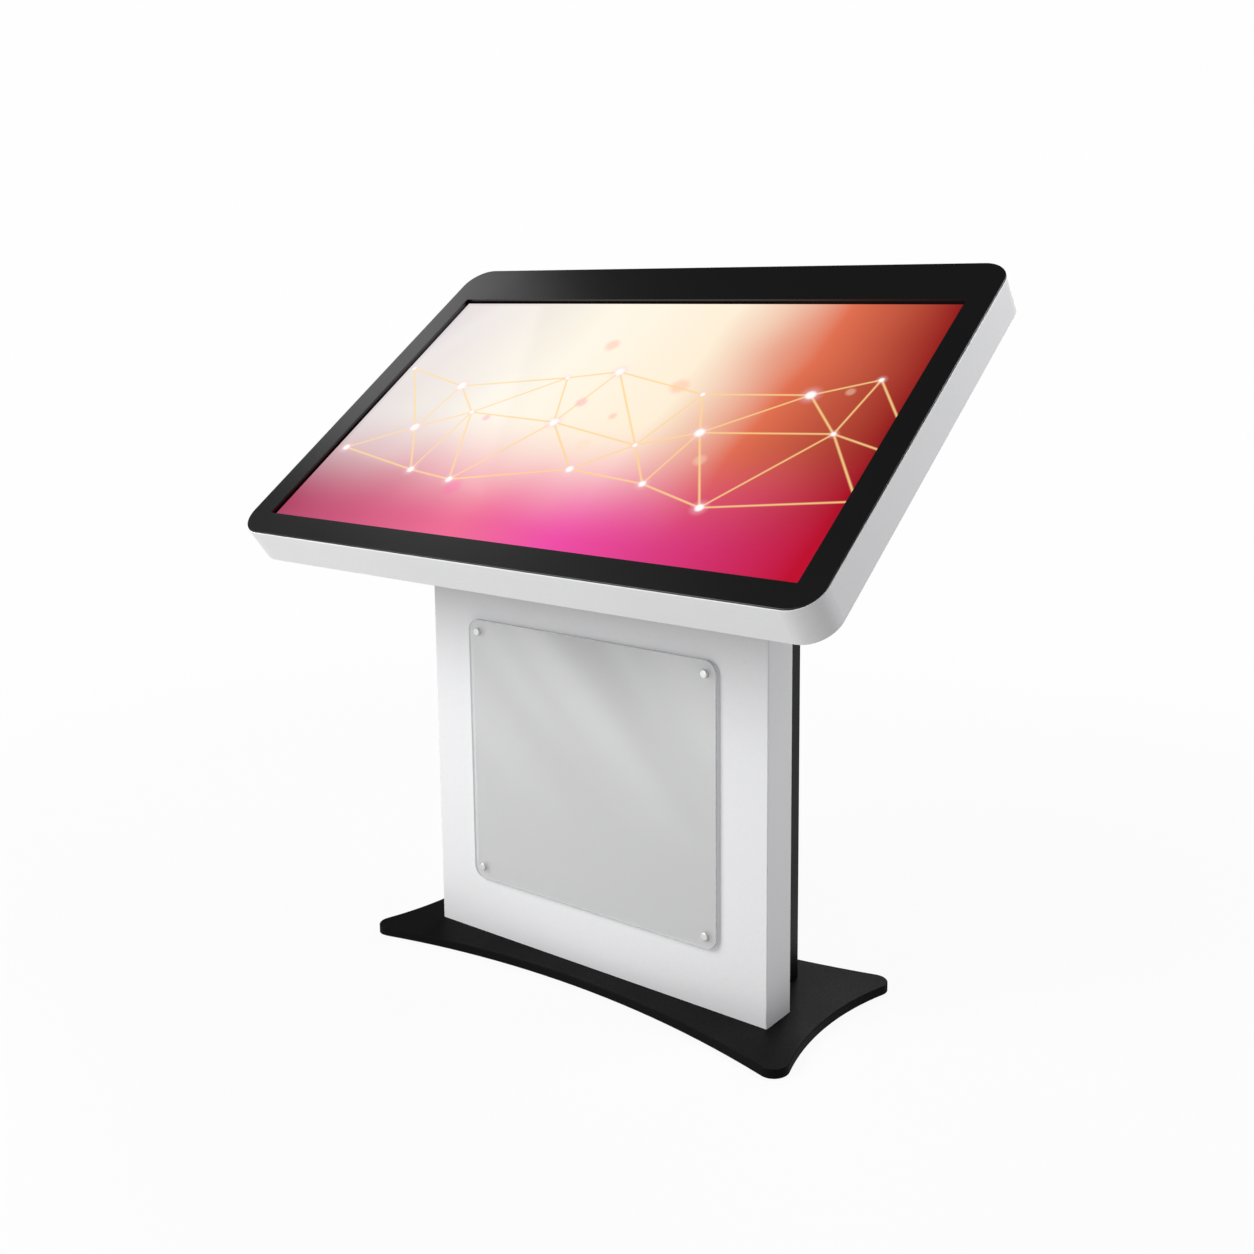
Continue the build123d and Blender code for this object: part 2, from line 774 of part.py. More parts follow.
def make_head_side_band():
    w = (cover_back, -bezel_t)
    band = slab(head_w, head_l, head_corner_r, w)
    band = fillet(band.edges().group_by(Axis.Z)[-1], band_edge_r)
    band = fillet(band.edges().group_by(Axis.Z)[0], band_edge_r)
    inner_w = head_w - 2 * sheet
    inner_l = head_l - 2 * sheet
    inner_r = head_corner_r - sheet
    lip_w = inner_w - 2 * band_lip
    lip_l = inner_l - 2 * band_lip
    room = slab(inner_w, inner_l, inner_r, (cover_front + sheet, -bezel_t - sheet))
    back_recess = slab(inner_w, inner_l, inner_r, (cover_back - 1, cover_front))
    mouth = slab(lip_w, lip_l, band_mouth_r, (cover_back - 1, 1))
    return on_slope * (band - room - back_recess - mouth)


def cover_screw_places():
    inset = sheet + band_lip / 2
    long_in, short_in = cover_screw_in
    across, along = cover_screw_counts
    long_sides = perimeter(head_w - 2 * (inset + long_in), head_l - 2 * inset, across, 0)
    short_sides = perimeter(head_w - 2 * inset, head_l - 2 * (inset + short_in), 2, along)
    return long_sides + short_sides


def speaker_slots():
    slots = []
    for side in (-1, 1):
        for i in range(-2, 3):
            slot = extrude(SlotOverall(*speaker_slot), amount=3 * sheet, both=True)
            v = speaker_at[1] + speaker_slot_pitch * i
            slots.append(Pos(side * speaker_at[0], v, cover_back) * slot)
    return slots


def make_rear_cover():
    inset = sheet + cover_gap
    plate = slab(
        head_w - 2 * inset, head_l - 2 * inset, head_corner_r - inset, (cover_back, cover_front)
    )
    plate -= cradle_holes(cover_back - 1, cover_front + 1)
    vents = []
    for i in range(vent_count[0]):
        for j in range(vent_count[1]):
            u = (i - (vent_count[0] - 1) / 2) * vent_pitch[0]
            v = vent_v + (j - (vent_count[1] - 1) / 2) * vent_pitch[1]
            slot = extrude(SlotOverall(*vent_slot), amount=3 * sheet, both=True)
            vents.append(Pos(u, v, cover_back) * slot)
    return on_slope * (plate - vents - speaker_slots())


def make_cover_screws():
    screws = []
    for u, v in cover_screw_places():
        screw = pan_screw(small_screw_r, 2 * sheet + 5, small_head_r, small_head_h)
        screws.append(Pos(u, v, cover_back) * Rot(180, 0, 0) * screw)
    return [on_slope * screw for screw in screws]


# ---------------------------------------------------------------- inner frame, glass and touch
def channel(length, depth, height, wall):
    """A folded channel along Y: web on its +X side, two flanges towards -X."""
    profile = Rectangle(depth, height) - Pos(-wall, 0) * Rectangle(depth, height - 2 * wall)
    bar = extrude(profile, amount=length / 2, both=True)
    return Rot(90, 0, 0) * bar


def make_inner_frame():
    height = glass_back - cover_front
    mid_w = (glass_back + cover_front) / 2
    bars = []
    for side in (0, 180):
        bar = channel(glass_h, frame_bar_w, height, sheet)
        place = Pos(0, screen_v, mid_w) * Rot(0, 0, side) * Pos((glass_w - frame_bar_w) / 2, 0, 0)
        bars.append(place * bar)
    across = glass_w - 2 * frame_bar_w - 2 * joint_gap
    for side in (90, 270):
        bar = channel(across, frame_bar_w, height, sheet)
        place = Pos(0, screen_v, mid_w) * Rot(0, 0, side) * Pos((glass_h - frame_bar_w) / 2, 0, 0)
        bars.append(place * bar)
    return [on_slope * bar for bar in bars]


def make_touch_glass():
    glass = slab(glass_w, glass_h, glass_edge_r, (glass_back, glass_top), screen_v)
    return on_slope * glass


def frame_strips(inner_w, inner_h, width, w):
    """Four straight strips round a rectangle: two full-length ones and two between them."""
    outer_w = inner_w / 2 + width
    outer_h = inner_h / 2 + width
    strips = []
    for side in (-1, 1):
        v = sorted((side * inner_h / 2, side * outer_h))
        strips.append(block((-outer_w, outer_w), v, w))
        u = sorted((side * inner_w / 2, side * outer_w))
        strips.append(block(u, (-inner_h / 2 + joint_gap, inner_h / 2 - joint_gap), w))
    return on_slope * Pos(0, screen_v, 0) * group(strips)


def make_touch_filters():
    w = (glass_top, -bezel_t)
    inner_w = opening_w + 2 * filter_setback
    inner_h = opening_h + 2 * filter_setback
    return frame_strips(inner_w, inner_h, filter_w, w)


def make_touch_sensor_boards():
    w = (glass_top, glass_top + sensor_board_t)
    grow = 2 * (filter_setback + filter_w + joint_gap)
    return frame_strips(opening_w + grow, opening_h + grow, sensor_board_w, w)


# ---------------------------------------------------------------- display module
def make_display_gasket():
    w = (module_top, glass_back)
    inner_w = active_w + 2 * module_lap
    inner_h = active_h + 2 * module_lap
    return frame_strips(inner_w, inner_h, gasket_w, w)


def make_display_front_frame():
    w = (module_top - module_sheet, module_top)
    lip = slab(module_w, module_h, 1.5, w, screen_v)
    hole = (active_w + 2 * module_lap, active_h + 2 * module_lap)
    lip -= slab(hole[0], hole[1], 0.5, (w[0] - 1, w[1] + 1), screen_v)
    skirt = ring(module_w, module_h, 1.5, module_sheet, (module_back, w[0]), screen_v)
    return on_slope * (lip + skirt)


def module_layer(thickness, top, shrink_w=0.0, shrink_h=0.0):
    """One sheet of the display's stack, inside the front frame's skirt."""
    inset = 2 * (module_sheet + module_sheet + joint_gap)
    width = module_w - inset - shrink_w
    length = module_h - inset - shrink_h
    return on_slope * slab(width, length, 0.5, (top - thickness, top), screen_v)


cell_top = module_top - module_sheet
guide_top = cell_top - cell_t - diffuser_t
chassis_floor = guide_top - guide_t


def make_display_cell():
    return module_layer(cell_t, cell_top)


def make_diffuser_sheets():
    return module_layer(diffuser_t, cell_top - cell_t)


def make_light_guide():
    return module_layer(guide_t, guide_top, 0.0, 2 * guide_gap)


def make_led_bars():
    inset = 2 * module_sheet + joint_gap
    edge = module_h / 2 - inset
    half = module_w / 2 - inset
    bars = []
    for side in (-1, 1):
        v = sorted((side * (edge - led_bar_t), side * edge))
        bars.append(block((-half, half), v, (chassis_floor, guide_top)))
    return on_slope * Pos(0, screen_v, 0) * group(bars)


def make_display_chassis():
    width = module_w - 2 * (module_sheet + joint_gap / 2)
    length = module_h - 2 * (module_sheet + joint_gap / 2)
    floor = slab(width, length, 1.0, (module_back, chassis_floor), screen_v)
    walls = ring(width, length, 1.0, module_sheet, (chassis_floor, cell_top - 0.2), screen_v)
    return on_slope * (floor + walls)


# ---------------------------------------------------------------- rails and boards in the head
def make_panel_rails():
    height = module_back - cover_front
    length = module_h
    rails = []
    for side in (-1, 1):
        turn = 0 if side > 0 else 180
        rail = channel(length, rail_w, height, rail_sheet)
        middle = Pos(side * rail_pitch / 2, screen_v, (module_back + cover_front) / 2)
        rail = middle * Rot(0, 0, turn) * rail
        low = cover_front - 1
        holes = [
            rod_z(cradle_bolt_r + cradle_bolt_gap, u, v, (low, low + rail_sheet + 2))
            for u, v in cradle_bolt_places()
        ]
        rails.append(rail - holes)
    return on_slope * group(rails)


def board_places(size, at):
    du = size[0] / 2 - board_hole_in
    dv = size[1] / 2 - board_hole_in
    return [(at[0] + i * du, at[1] + j * dv) for i in (-1, 1) for j in (-1, 1)]


def make_scaler_board():
    low = cover_front + standoff_h
    u, v = scaler_at
    board = Pos(u, v, low) * extrude(Rectangle(*scaler_size), amount=board_t)
    for du, dv, width, length, height in scaler_chips:
        chip = extrude(Rectangle(width, length), amount=height)
        board += Pos(u + du, v + dv, low + board_t) * chip
    return on_slope * board


def make_touch_board():
    low = cover_front + standoff_h
    u, v = touch_board_at
    board = Pos(u, v, low) * extrude(Rectangle(*touch_board_size), amount=board_t)
    chip = extrude(Rectangle(touch_chip[0], touch_chip[1]), amount=touch_chip[2])
    board += Pos(u, v, low + board_t) * chip
    return on_slope * board


def make_board_standoffs():
    posts = []
    for size, at in ((scaler_size, scaler_at), (touch_board_size, touch_board_at)):
        for u, v in board_places(size, at):
            posts.append(rod_z(standoff_r, u, v, (cover_front, cover_front + standoff_h)))
    return on_slope * group(posts)


def make_speaker_boxes():
    boxes = []
    width, length, height = speaker_size
    inner_w = width - 2 * speaker_wall
    inner_l = length - 2 * speaker_wall
    inner_r = speaker_corner_r - speaker_wall
    for side in (-1, 1):
        box = slab(width, length, speaker_corner_r, (cover_front, cover_front + height))
        back = cover_front + height - speaker_wall
        box -= slab(inner_w, inner_l, inner_r, (cover_front - 1, back))
        boxes.append(Pos(side * speaker_at[0], speaker_at[1], 0) * box)
    return on_slope * group(boxes)


def make_speaker_cones():
    cones = []
    back = cover_front + speaker_size[2] - speaker_wall
    front = back - magnet_h
    for side in (-1, 1):
        for offset in (-cone_offset, cone_offset):
            u = side * speaker_at[0] + offset
            magnet = rod_z(magnet_r, u, speaker_at[1], (front, back))
            cone = Cone(cone_r, magnet_r, cone_depth)
            cones.append(magnet + Pos(u, speaker_at[1], front - cone_depth / 2) * cone)
    return on_slope * group(cones)


# ---------------------------------------------------------------- equipment in the column
def plate_screw_places():
    middle = (plate_bottom + plate_top) / 2
    heights = (plate_bottom + plate_screw_end, middle, plate_top - plate_screw_end)
    return [(side * post_x, z) for side in (-1, 1) for z in heights]


def make_equipment_plate():
    half = rear_inner_x - plate_side_gap
    return block((-half, half), (plate_y, plate_y + plate_t), (plate_bottom, plate_top))


def make_equipment_screws():
    screws = []
    for x, z in plate_screw_places():
        screw = pan_screw(small_screw_r, plate_t + post_sheet + 2, small_head_r, small_head_h)
        screws.append(Pos(x, device_y, z) * Rot(-90, 0, 0) * screw)
    return screws


def pc_span():
    x = (pc_at[0] - pc_size[0] / 2, pc_at[0] + pc_size[0] / 2)
    y = (device_y, device_y + pc_size[2])
    z = (pc_at[1] - pc_size[1] / 2, pc_at[1] + pc_size[1] / 2)
    return x, y, z


def shrunk(span, by):
    return (span[0] + by, span[1] - by)


def make_computer_case():
    x, y, z = pc_span()
    y = (y[0], y[1] - pc_lid_t)
    case = block(x, y, z)
    case = fillet(case.edges().filter_by(Axis.Y), pc_corner_r)
    return case - block(shrunk(x, pc_wall), (y[0] + pc_wall, y[1] + 1), shrunk(z, pc_wall))


def make_computer_lid():
    x, y, z = pc_span()
    lid = fillet(block(x, (y[1] - pc_lid_t, y[1]), z).edges().filter_by(Axis.Y), pc_corner_r)
    fin_z = (z[0] + pc_fin_ends[0], z[1] - pc_fin_ends[1])
    for i in range(pc_fins):
        fin_x = x[0] + pc_fin_side + i * (pc_size[0] - 2 * pc_fin_side) / (pc_fins - 1)
        fin = block((fin_x - pc_fin_t / 2, fin_x + pc_fin_t / 2), (y[1], y[1] + pc_fin_h), fin_z)
        lid += fin
    bx = pc_at[0] + button_at[0]
    bz = pc_at[1] + button_at[1]
    return lid - rod_y(button_r + button_clear, bx, (y[1] - 9, y[1] + 9), bz)


def make_computer_board():
    x, y, z = pc_span()
    low = y[0] + pc_board_lift
    board = block(shrunk(x, pc_board_gap), (low, low + board_t), shrunk(z, pc_board_gap))
    sink = Box(*pc_sink)
    sink = Pos(pc_at[0], low + board_t + pc_sink[1] / 2, pc_at[1]) * sink
    posts = [
        rod_y(standoff_r, bx, (y[0] + pc_wall, low), bz)
        for bx in shrunk(x, pc_post_in)
        for bz in shrunk(z, pc_post_in)
    ]
    return board + sink + posts


def make_computer_button():
    x, y, z = pc_span()
    bx = pc_at[0] + button_at[0]
    bz = pc_at[1] + button_at[1]
    back = y[1] - pc_lid_t - button_collar_t - button_play
    cap = rod_y(button_r, bx, (back, y[1] + button_proud), bz)
    cap = fillet(cap.edges().group_by(Axis.Y)[-1], button_edge_r)
    return cap + rod_y(button_r + button_collar, bx, (back, back + button_collar_t), bz)


def psu_span():
    x = (psu_at[0] - psu_size[0] / 2, psu_at[0] + psu_size[0] / 2)
    z = (psu_at[1] - psu_size[1] / 2, psu_at[1] + psu_size[1] / 2)
    return x, (device_y, device_y + psu_size[2]), z


def make_power_supply_case():
    x, y, z = psu_span()
    case = block(x, y, z)
    case -= block(shrunk(x, sheet), (y[0] + sheet, y[1] - sheet), (z[0] - 1, z[1] - sheet))
    slots = []
    for i in range(psu_slots):
        slot = extrude(SlotOverall(*psu_slot), amount=3 * sheet, both=True)
        slot_z = z[1] - psu_slot_drop - psu_slot_pitch * i
        slots.append(Pos(psu_at[0], y[1], slot_z) * Rot(90, 0, 0) * slot)
    return case - slots


def make_power_supply_board():
    x, y, z = psu_span()
    low = y[0] + sheet + psu_board_lift
    board_z = (z[0] + psu_board_ends[0], z[1] - psu_board_ends[1])
    board = block(shrunk(x, psu_board_gap), (low, low + board_t), board_z)
    coil_x = (psu_at[0] - psu_coil[0] / 2, psu_at[0] + psu_coil[0] / 2)
    coil = block(coil_x, (low + board_t, low + psu_coil[1]), (psu_at[1], psu_at[1] + psu_coil[2]))
    cap_r, cap_l = psu_cap
    cap_z = (psu_at[1] - psu_cap_drop, psu_at[1] - psu_cap_drop + cap_l)
    # The capacitors lie half a millimetre into the board, as their leads hold them.
    cap_y = low + board_t + cap_r - 0.5
    caps = [rod_z(cap_r, psu_at[0] + side * psu_cap_x, cap_y, cap_z) for side in (-1, 1)]
    return board + coil + caps


def make_terminal_block():
    x, y, z = psu_span()
    half = terminal_size[0] / 2
    low = y[0] + sheet + psu_board_lift
    block_x = (psu_at[0] - half, psu_at[0] + half)
    body = block(block_x, (low, low + terminal_size[2]), (z[0], z[0] + terminal_size[1]))
    screws = []
    top = low + terminal_size[2]
    screw_y = (top - terminal_screw_depth, top + 1)
    for i in range(terminal_screws):
        screw_x = psu_at[0] - half + terminal_size[0] * (i + 0.5) / terminal_screws
        screws.append(rod_y(terminal_screw_r, screw_x, screw_y, z[0] + terminal_size[1] / 2))
    return body - screws


# ---------------------------------------------------------------- service door
def make_service_door():
    x = (-door_w / 2, door_w / 2)
    z = (door_bottom, door_bottom + door_h)
    y = (rear_back_y - door_return, rear_back_y)
    door = block(x, y, z)
    door -= block(shrunk(x, sheet), (y[0] - 1, y[1] - sheet), shrunk(z, sheet))
    door = fillet(door.faces().sort_by(Axis.Y)[-1].edges(), door_edge_r)
    cuts = [rod_y(lock_r + lock_gap, lock_x, (y[0], y[1] + 1), door_mid_z)]
    for i in range(louvre_count):
        slot = extrude(SlotOverall(*louvre_size), amount=3 * sheet, both=True)
        rise = door_bottom + louvre_above_sill + i * louvre_pitch
        cuts.append(Pos(0, rear_back_y, rise) * Rot(90, 0, 0) * slot)
    return door - cuts


def hinge_leaf(side, knuckles, z_mid):
    """One leaf with its knuckles: side -1 is the frame's, side 1 the door's."""
    low = z_mid - hinge_h / 2
    inner = hinge_r + hinge_leaf_gap
    x = sorted((hinge_x + side * inner, hinge_x + side * (inner + hinge_leaf_w)))
    y = (rear_back_y, rear_back_y + hinge_leaf_t)
    leaf = block(x, y, (low, low + hinge_h))
    tab_x = sorted((hinge_x + side * hinge_tab_in, hinge_x + side * (inner + 1)))
    for z0, z1 in knuckles:
        leaf += rod_z(hinge_r, hinge_x, hinge_y, (low + z0, low + z1))
        leaf += block(tab_x, y, (low + z0, low + z1))
    return leaf


def make_hinge_frame_leaves():
    end = hinge_h / 4
    leaves = []
    for z_mid in hinge_places:
        knuckles = ((0, end), (hinge_h - end, hinge_h))
        leaf = hinge_leaf(-1, knuckles, z_mid)
        z = (z_mid - hinge_h, z_mid + hinge_h)
        leaves.append(leaf - rod_z(hinge_pin_r, hinge_x, hinge_y, z))
    return group(leaves)


def make_hinge_door_leaves():
    end = hinge_h / 4
    leaves = []
    for z_mid in hinge_places:
        knuckles = ((end + hinge_split, hinge_h - end - hinge_split),)
        leaf = hinge_leaf(1, knuckles, z_mid)
        z = (z_mid - hinge_h, z_mid + hinge_h)
        leaves.append(leaf - rod_z(hinge_pin_r + hinge_clear, hinge_x, hinge_y, z))
    return group(leaves)


def make_hinge_pins():
    pins = []
    for z_mid in hinge_places:
        pin = rod_z(hinge_pin_r, hinge_x, hinge_y, (z_mid - hinge_h / 2, z_mid + hinge_h / 2))
        top = z_mid + hinge_h / 2
        head_r, head_h = hinge_pin_head
        pins.append(pin + rod_z(head_r, hinge_x, hinge_y, (top, top + head_h)))
    return group(pins)


# ---------------------------------------------------------------- cam lock
lock_face_y = rear_back_y + lock_flange_t
barrel_back_y = rear_back_y - lock_depth


def make_lock_barrel():
    barrel = rod_y(lock_r, lock_x, (barrel_back_y, rear_back_y), door_mid_z)
    barrel += rod_y(lock_flange_r, lock_x, (rear_back_y, lock_face_y), door_mid_z)
    barrel = fillet(barrel.edges().group_by(Axis.Y)[-1], lock_edge_r)
    y = (barrel_back_y - 1, lock_face_y + 1)
    return barrel - rod_y(plug_r + plug_clear, lock_x, y, door_mid_z)


def make_lock_nut():
    y = (rear_back_y - sheet - lock_nut_t, rear_back_y - sheet)
    nut = Pos(lock_x, y[1], door_mid_z) * Rot(90, 0, 0) * extrude(
        RegularPolygon(lock_nut_r, 6), amount=lock_nut_t
    )
    return nut - rod_y(lock_r, lock_x, (y[0] - 1, y[1] + 1), door_mid_z)


def make_lock_plug():
    plug = rod_y(plug_r, lock_x, (barrel_back_y - cam_play, lock_face_y), door_mid_z)
    slot_y = (lock_face_y - key_slot[2], lock_face_y + 1)
    x = (lock_x - key_slot[0] / 2, lock_x + key_slot[0] / 2)
    z = (door_mid_z - key_slot[1] / 2, door_mid_z + key_slot[1] / 2)
    return plug - block(x, slot_y, z)


cam_y1 = barrel_back_y - cam_play
cam_y0 = cam_y1 - cam_t


def make_lock_cam():
    """Cam at rest points up, clear of the frame; a quarter turn takes it behind the frame's lip."""
    y = (cam_y0, cam_y1)
    tip_z = door_mid_z + cam_reach - cam_w / 2
    cam = block((lock_x - cam_w / 2, lock_x + cam_w / 2), y, (door_mid_z, tip_z))
    return cam + [rod_y(cam_w / 2, lock_x, y, z) for z in (door_mid_z, tip_z)]


def make_cam_screw():
    return rod_y(cam_screw_r, lock_x, (cam_y0 - cam_screw_h, cam_y0), door_mid_z)


# ---------------------------------------------------------------- fans
fan_y1 = rear_back_y - sheet
fan_y0 = fan_y1 - fan_depth
hub_y = fan_y0 + fan_hub_depth


def make_fan_frame(x_mid):
    half = fan_size / 2
    frame = block((x_mid - half, x_mid + half), (fan_y0, fan_y1), (fan_z - half, fan_z + half))
    frame = fillet(frame.edges().filter_by(Axis.Y), fan_corner_r)
    frame -= rod_y(fan_duct_r, x_mid, (fan_y0 - 1, fan_y1 + 1), fan_z)
    frame += rod_y(fan_hub_r, x_mid, (fan_y0, hub_y), fan_z)
    for i in range(4):
        strut_z = (-fan_strut[1] / 2, fan_strut[1] / 2)
        strut = block((fan_hub_r - 1, fan_duct_r + 1), (fan_y0, fan_y0 + fan_strut[0]), strut_z)
        frame += Pos(x_mid, 0, fan_z) * Rot(0, 45 + 90 * i, 0) * strut
    frame += rod_y(fan_shaft_r, x_mid, (hub_y, fan_y1 - fan_shaft_end), fan_z)
    y = (fan_y0 - 1, fan_y1 + 1)
    return frame - [rod_y(fan_screw_r, x, y, z) for x, z in fan_screw_places(x_mid)]


def make_fan_rotor(x_mid):
    y = (hub_y + fan_rotor_gap[0], fan_y1 - fan_rotor_gap[1])
    tip = fan_duct_r - fan_tip_gap
    rotor = rod_y(fan_hub_r, 0, y, 0)
    mid_y = (y[0] + y[1]) / 2
    span = tip - fan_hub_r + 4
    blade = Pos(fan_hub_r + span / 2 - 2, mid_y, 0) * Rot(fan_blade_turn, 0, 0)
    blade = blade * Box(span, fan_blade_t, fan_blade_chord)
    within = rod_y(tip, 0, (y[0], y[1]), 0)
    for i in range(fan_blades):
        rotor += (Rot(0, 360 * i / fan_blades, 0) * blade) & within
    rotor -= rod_y(fan_shaft_r + fan_shaft_clear, 0, (y[0] - 1, fan_y1 - fan_shaft_end + 1), 0)
    return Pos(x_mid, 0, fan_z) * rotor


def make_fan_screws():
    screws = []
    for x_mid in (-fan_x, fan_x):
        for x, z in fan_screw_places(x_mid):
            screw = pan_screw(fan_screw_r, sheet + 12, small_head_r, small_head_h)
            screws.append(Pos(x, rear_back_y, z) * Rot(-90, 0, 0) * screw)
    return screws


# ---------------------------------------------------------------- power inlet
inlet_face_y = rear_back_y + inlet_flange[2]


def rocker_room():
    """Well in the inlet's body that the rocker swings in."""
    half_x = rocker_size[0] / 2 + rocker_clear
    reach = max(sqrt(depth**2 + rise**2) for depth, rise in rocker_profile) + rocker_clear
    x = (inlet_x + rocker_x - half_x, inlet_x + rocker_x + half_x)
    y = (inlet_face_y - rocker_depth, inlet_face_y + 1)
    return block(x, y, (inlet_z - reach, inlet_z + reach))


def make_inlet_housing():
    half_w = inlet_flange[0] / 2
    half_h = inlet_flange[1] / 2
    flange = block(
        (inlet_x - half_w, inlet_x + half_w),
        (rear_back_y, inlet_face_y),
        (inlet_z - half_h, inlet_z + half_h),
    )
    flange = fillet(flange.edges().filter_by(Axis.Y), 3.0)
    flange = fillet(flange.faces().sort_by(Axis.Y)[-1].edges(), 0.8)
    half_w = inlet_body[0] / 2
    half_h = inlet_body[1] / 2
    housing = flange + block(
        (inlet_x - half_w, inlet_x + half_w),
        (rear_back_y - inlet_body[2], rear_back_y),
        (inlet_z - half_h, inlet_z + half_h),
    )
    socket = extrude(
        RectangleRounded(socket_size[0], socket_size[1], socket_corner_r), amount=-socket_size[2] - 1
    )
    socket = Pos(inlet_x + socket_x, inlet_face_y + 1, inlet_z) * Rot(-90, 0, 0) * socket
    axis_y = inlet_face_y - rocker_axis_in
    pivot_x = rocker_size[0] / 2 + rocker_clear + rocker_pin_in + rocker_pin_end
    x = (inlet_x + rocker_x - pivot_x, inlet_x + rocker_x + pivot_x)
    pivot = rod_x(rocker_pin_r + rocker_pin_clear, x, axis_y, inlet_z)
    return housing - socket - rocker_room() - pivot


def make_inlet_pins():
    floor_y = inlet_face_y - socket_size[2]
    rise_earth, rise_line = inlet_pin_rise
    places = [(0, rise_earth), (-inlet_pin_pitch / 2, rise_line), (inlet_pin_pitch / 2, rise_line)]
    pins = []
    for dx, dz in places:
        x = inlet_x + socket_x + dx
        z = inlet_z + dz
        half_x = inlet_pin[0] / 2
        half_z = inlet_pin[1] / 2
        y = (floor_y, floor_y + inlet_pin[2])
        pins.append(block((x - half_x, x + half_x), y, (z - half_z, z + half_z)))
    return group(pins)


def make_power_rocker():
    """Rocker of the mains switch, resting tilted in its on position."""
    outline = Polyline(*rocker_profile, close=True)
    body = extrude(Plane.YZ * make_face(outline), amount=rocker_size[0] / 2, both=True)
    pin_x = rocker_size[0] / 2 + rocker_clear + rocker_pin_in
    body += rod_x(rocker_pin_r, (-pin_x, pin_x), 0, 0)
    axis_y = inlet_face_y - rocker_axis_in
    return Pos(inlet_x + rocker_x, axis_y, inlet_z) * Rot(-rocker_tilt, 0, 0) * body


# ---------------------------------------------------------------- cables
def cable_radii(points):
    """The largest arc that each corner's two runs leave room for."""
    points = [Vector(*p) for p in points]
    radii = []
    for a, b, c in zip(points, points[1:], points[2:]):
        turn = radians((b - a).get_angle(c - b))
        shorter = min((b - a).length, (c - b).length)
        radii.append(0.45 * shorter / tan(turn / 2))
    return radii


def cable(points):
    """A round cable of straight runs and tangent arcs."""
    path = FilletPolyline(*points, radius=cable_radii(points))
    section = Plane(origin=path @ 0, z_dir=path % 0) * Circle(lead_r)
    return sweep(section, path=path)


def plug_at(point, direction, size):
    """A moulded plug whose mouth is at the point, with the cable leaving along the direction."""
    plane = Plane(origin=point, z_dir=direction)
    return plane * Pos(0, 0, size[2] / 2) * Box(size[0], size[1], size[2])


def head_point(u, v, w):
    return tuple((on_slope * Pos(u, v, w)).position)


def riser(x_low, z_low, x_high, v_end):
    """Route from a device up the plate, through the grommet and up the slope to a board."""
    return [
        (x_low, lead_y, z_low),
        (x_low, lead_y, (z_low + plate_top) / 2),
        (x_high, lead_y, plate_top + lead_rise),
        (x_high, lead_y, slope_z(lead_y, lead_w)),
        head_point(x_high, v_end, lead_w),
    ]


def make_video_cable():
    x, y, z = pc_span()
    board_v = scaler_at[1] - scaler_size[1] / 2
    points = riser(x[1] - 30, z[1], 0.0, board_v)
    lead = cable(points)
    lead += plug_at(points[0], (0, 0, 1), lead_plug)
    return lead + plug_at(points[-1], Vector(*points[-2]) - Vector(*points[-1]), lead_plug)


def make_touch_cable():
    x, y, z = pc_span()
    board_v = touch_board_at[1] - touch_board_size[1] / 2
    points = riser(x[0] + 60, z[1], -lead_pitch, board_v)
    end = head_point(touch_board_at[0], board_v, lead_w)
    side_step = head_point(-lead_pitch, slope_v(lead_y, lead_w) + lead_side_step, lead_w)
    turn_in = head_point(touch_board_at[0], board_v - lead_turn_in, lead_w)
    points = points[:-1] + [side_step, turn_in, end]
    lead = cable(points)
    lead += plug_at(points[0], (0, 0, 1), lead_plug)
    return lead + plug_at(points[-1], Vector(*points[-2]) - Vector(*points[-1]), lead_plug)


def make_display_power_lead():
    x, y, z = psu_span()
    rise_x = x[0] - lead_beside
    low_z = z[0] - lead_drop
    board_v = scaler_at[1] - scaler_size[1] / 2
    start_x = psu_at[0] - terminal_size[0] / 2 + 10
    points = [
        (start_x, lead_y, z[0]),
        (start_x, lead_y, low_z),
        (start_x - lead_loop, lead_y, low_z - lead_loop),
        (rise_x, lead_y, low_z),
    ]
    points += riser(rise_x, low_z, lead_pitch, board_v)[1:]
    lead = cable(points)
    return lead + plug_at(points[-1], Vector(*points[-2]) - Vector(*points[-1]), lead_plug)


def make_mains_lead():
    x, y, z = psu_span()
    inlet_back = rear_back_y - inlet_body[2]
    lead_x = psu_at[0] + terminal_size[0] / 2 - 24
    points = [
        (lead_x, inlet_back, inlet_z),
        (lead_x, lead_y, inlet_z),
        (lead_x, lead_y, z[0]),
    ]
    return cable(points)


# ---------------------------------------------------------------- write the nodes
rear_box_screws = make_rear_box_screws()
cover_screws = make_cover_screws()
equipment_screws = make_equipment_screws()

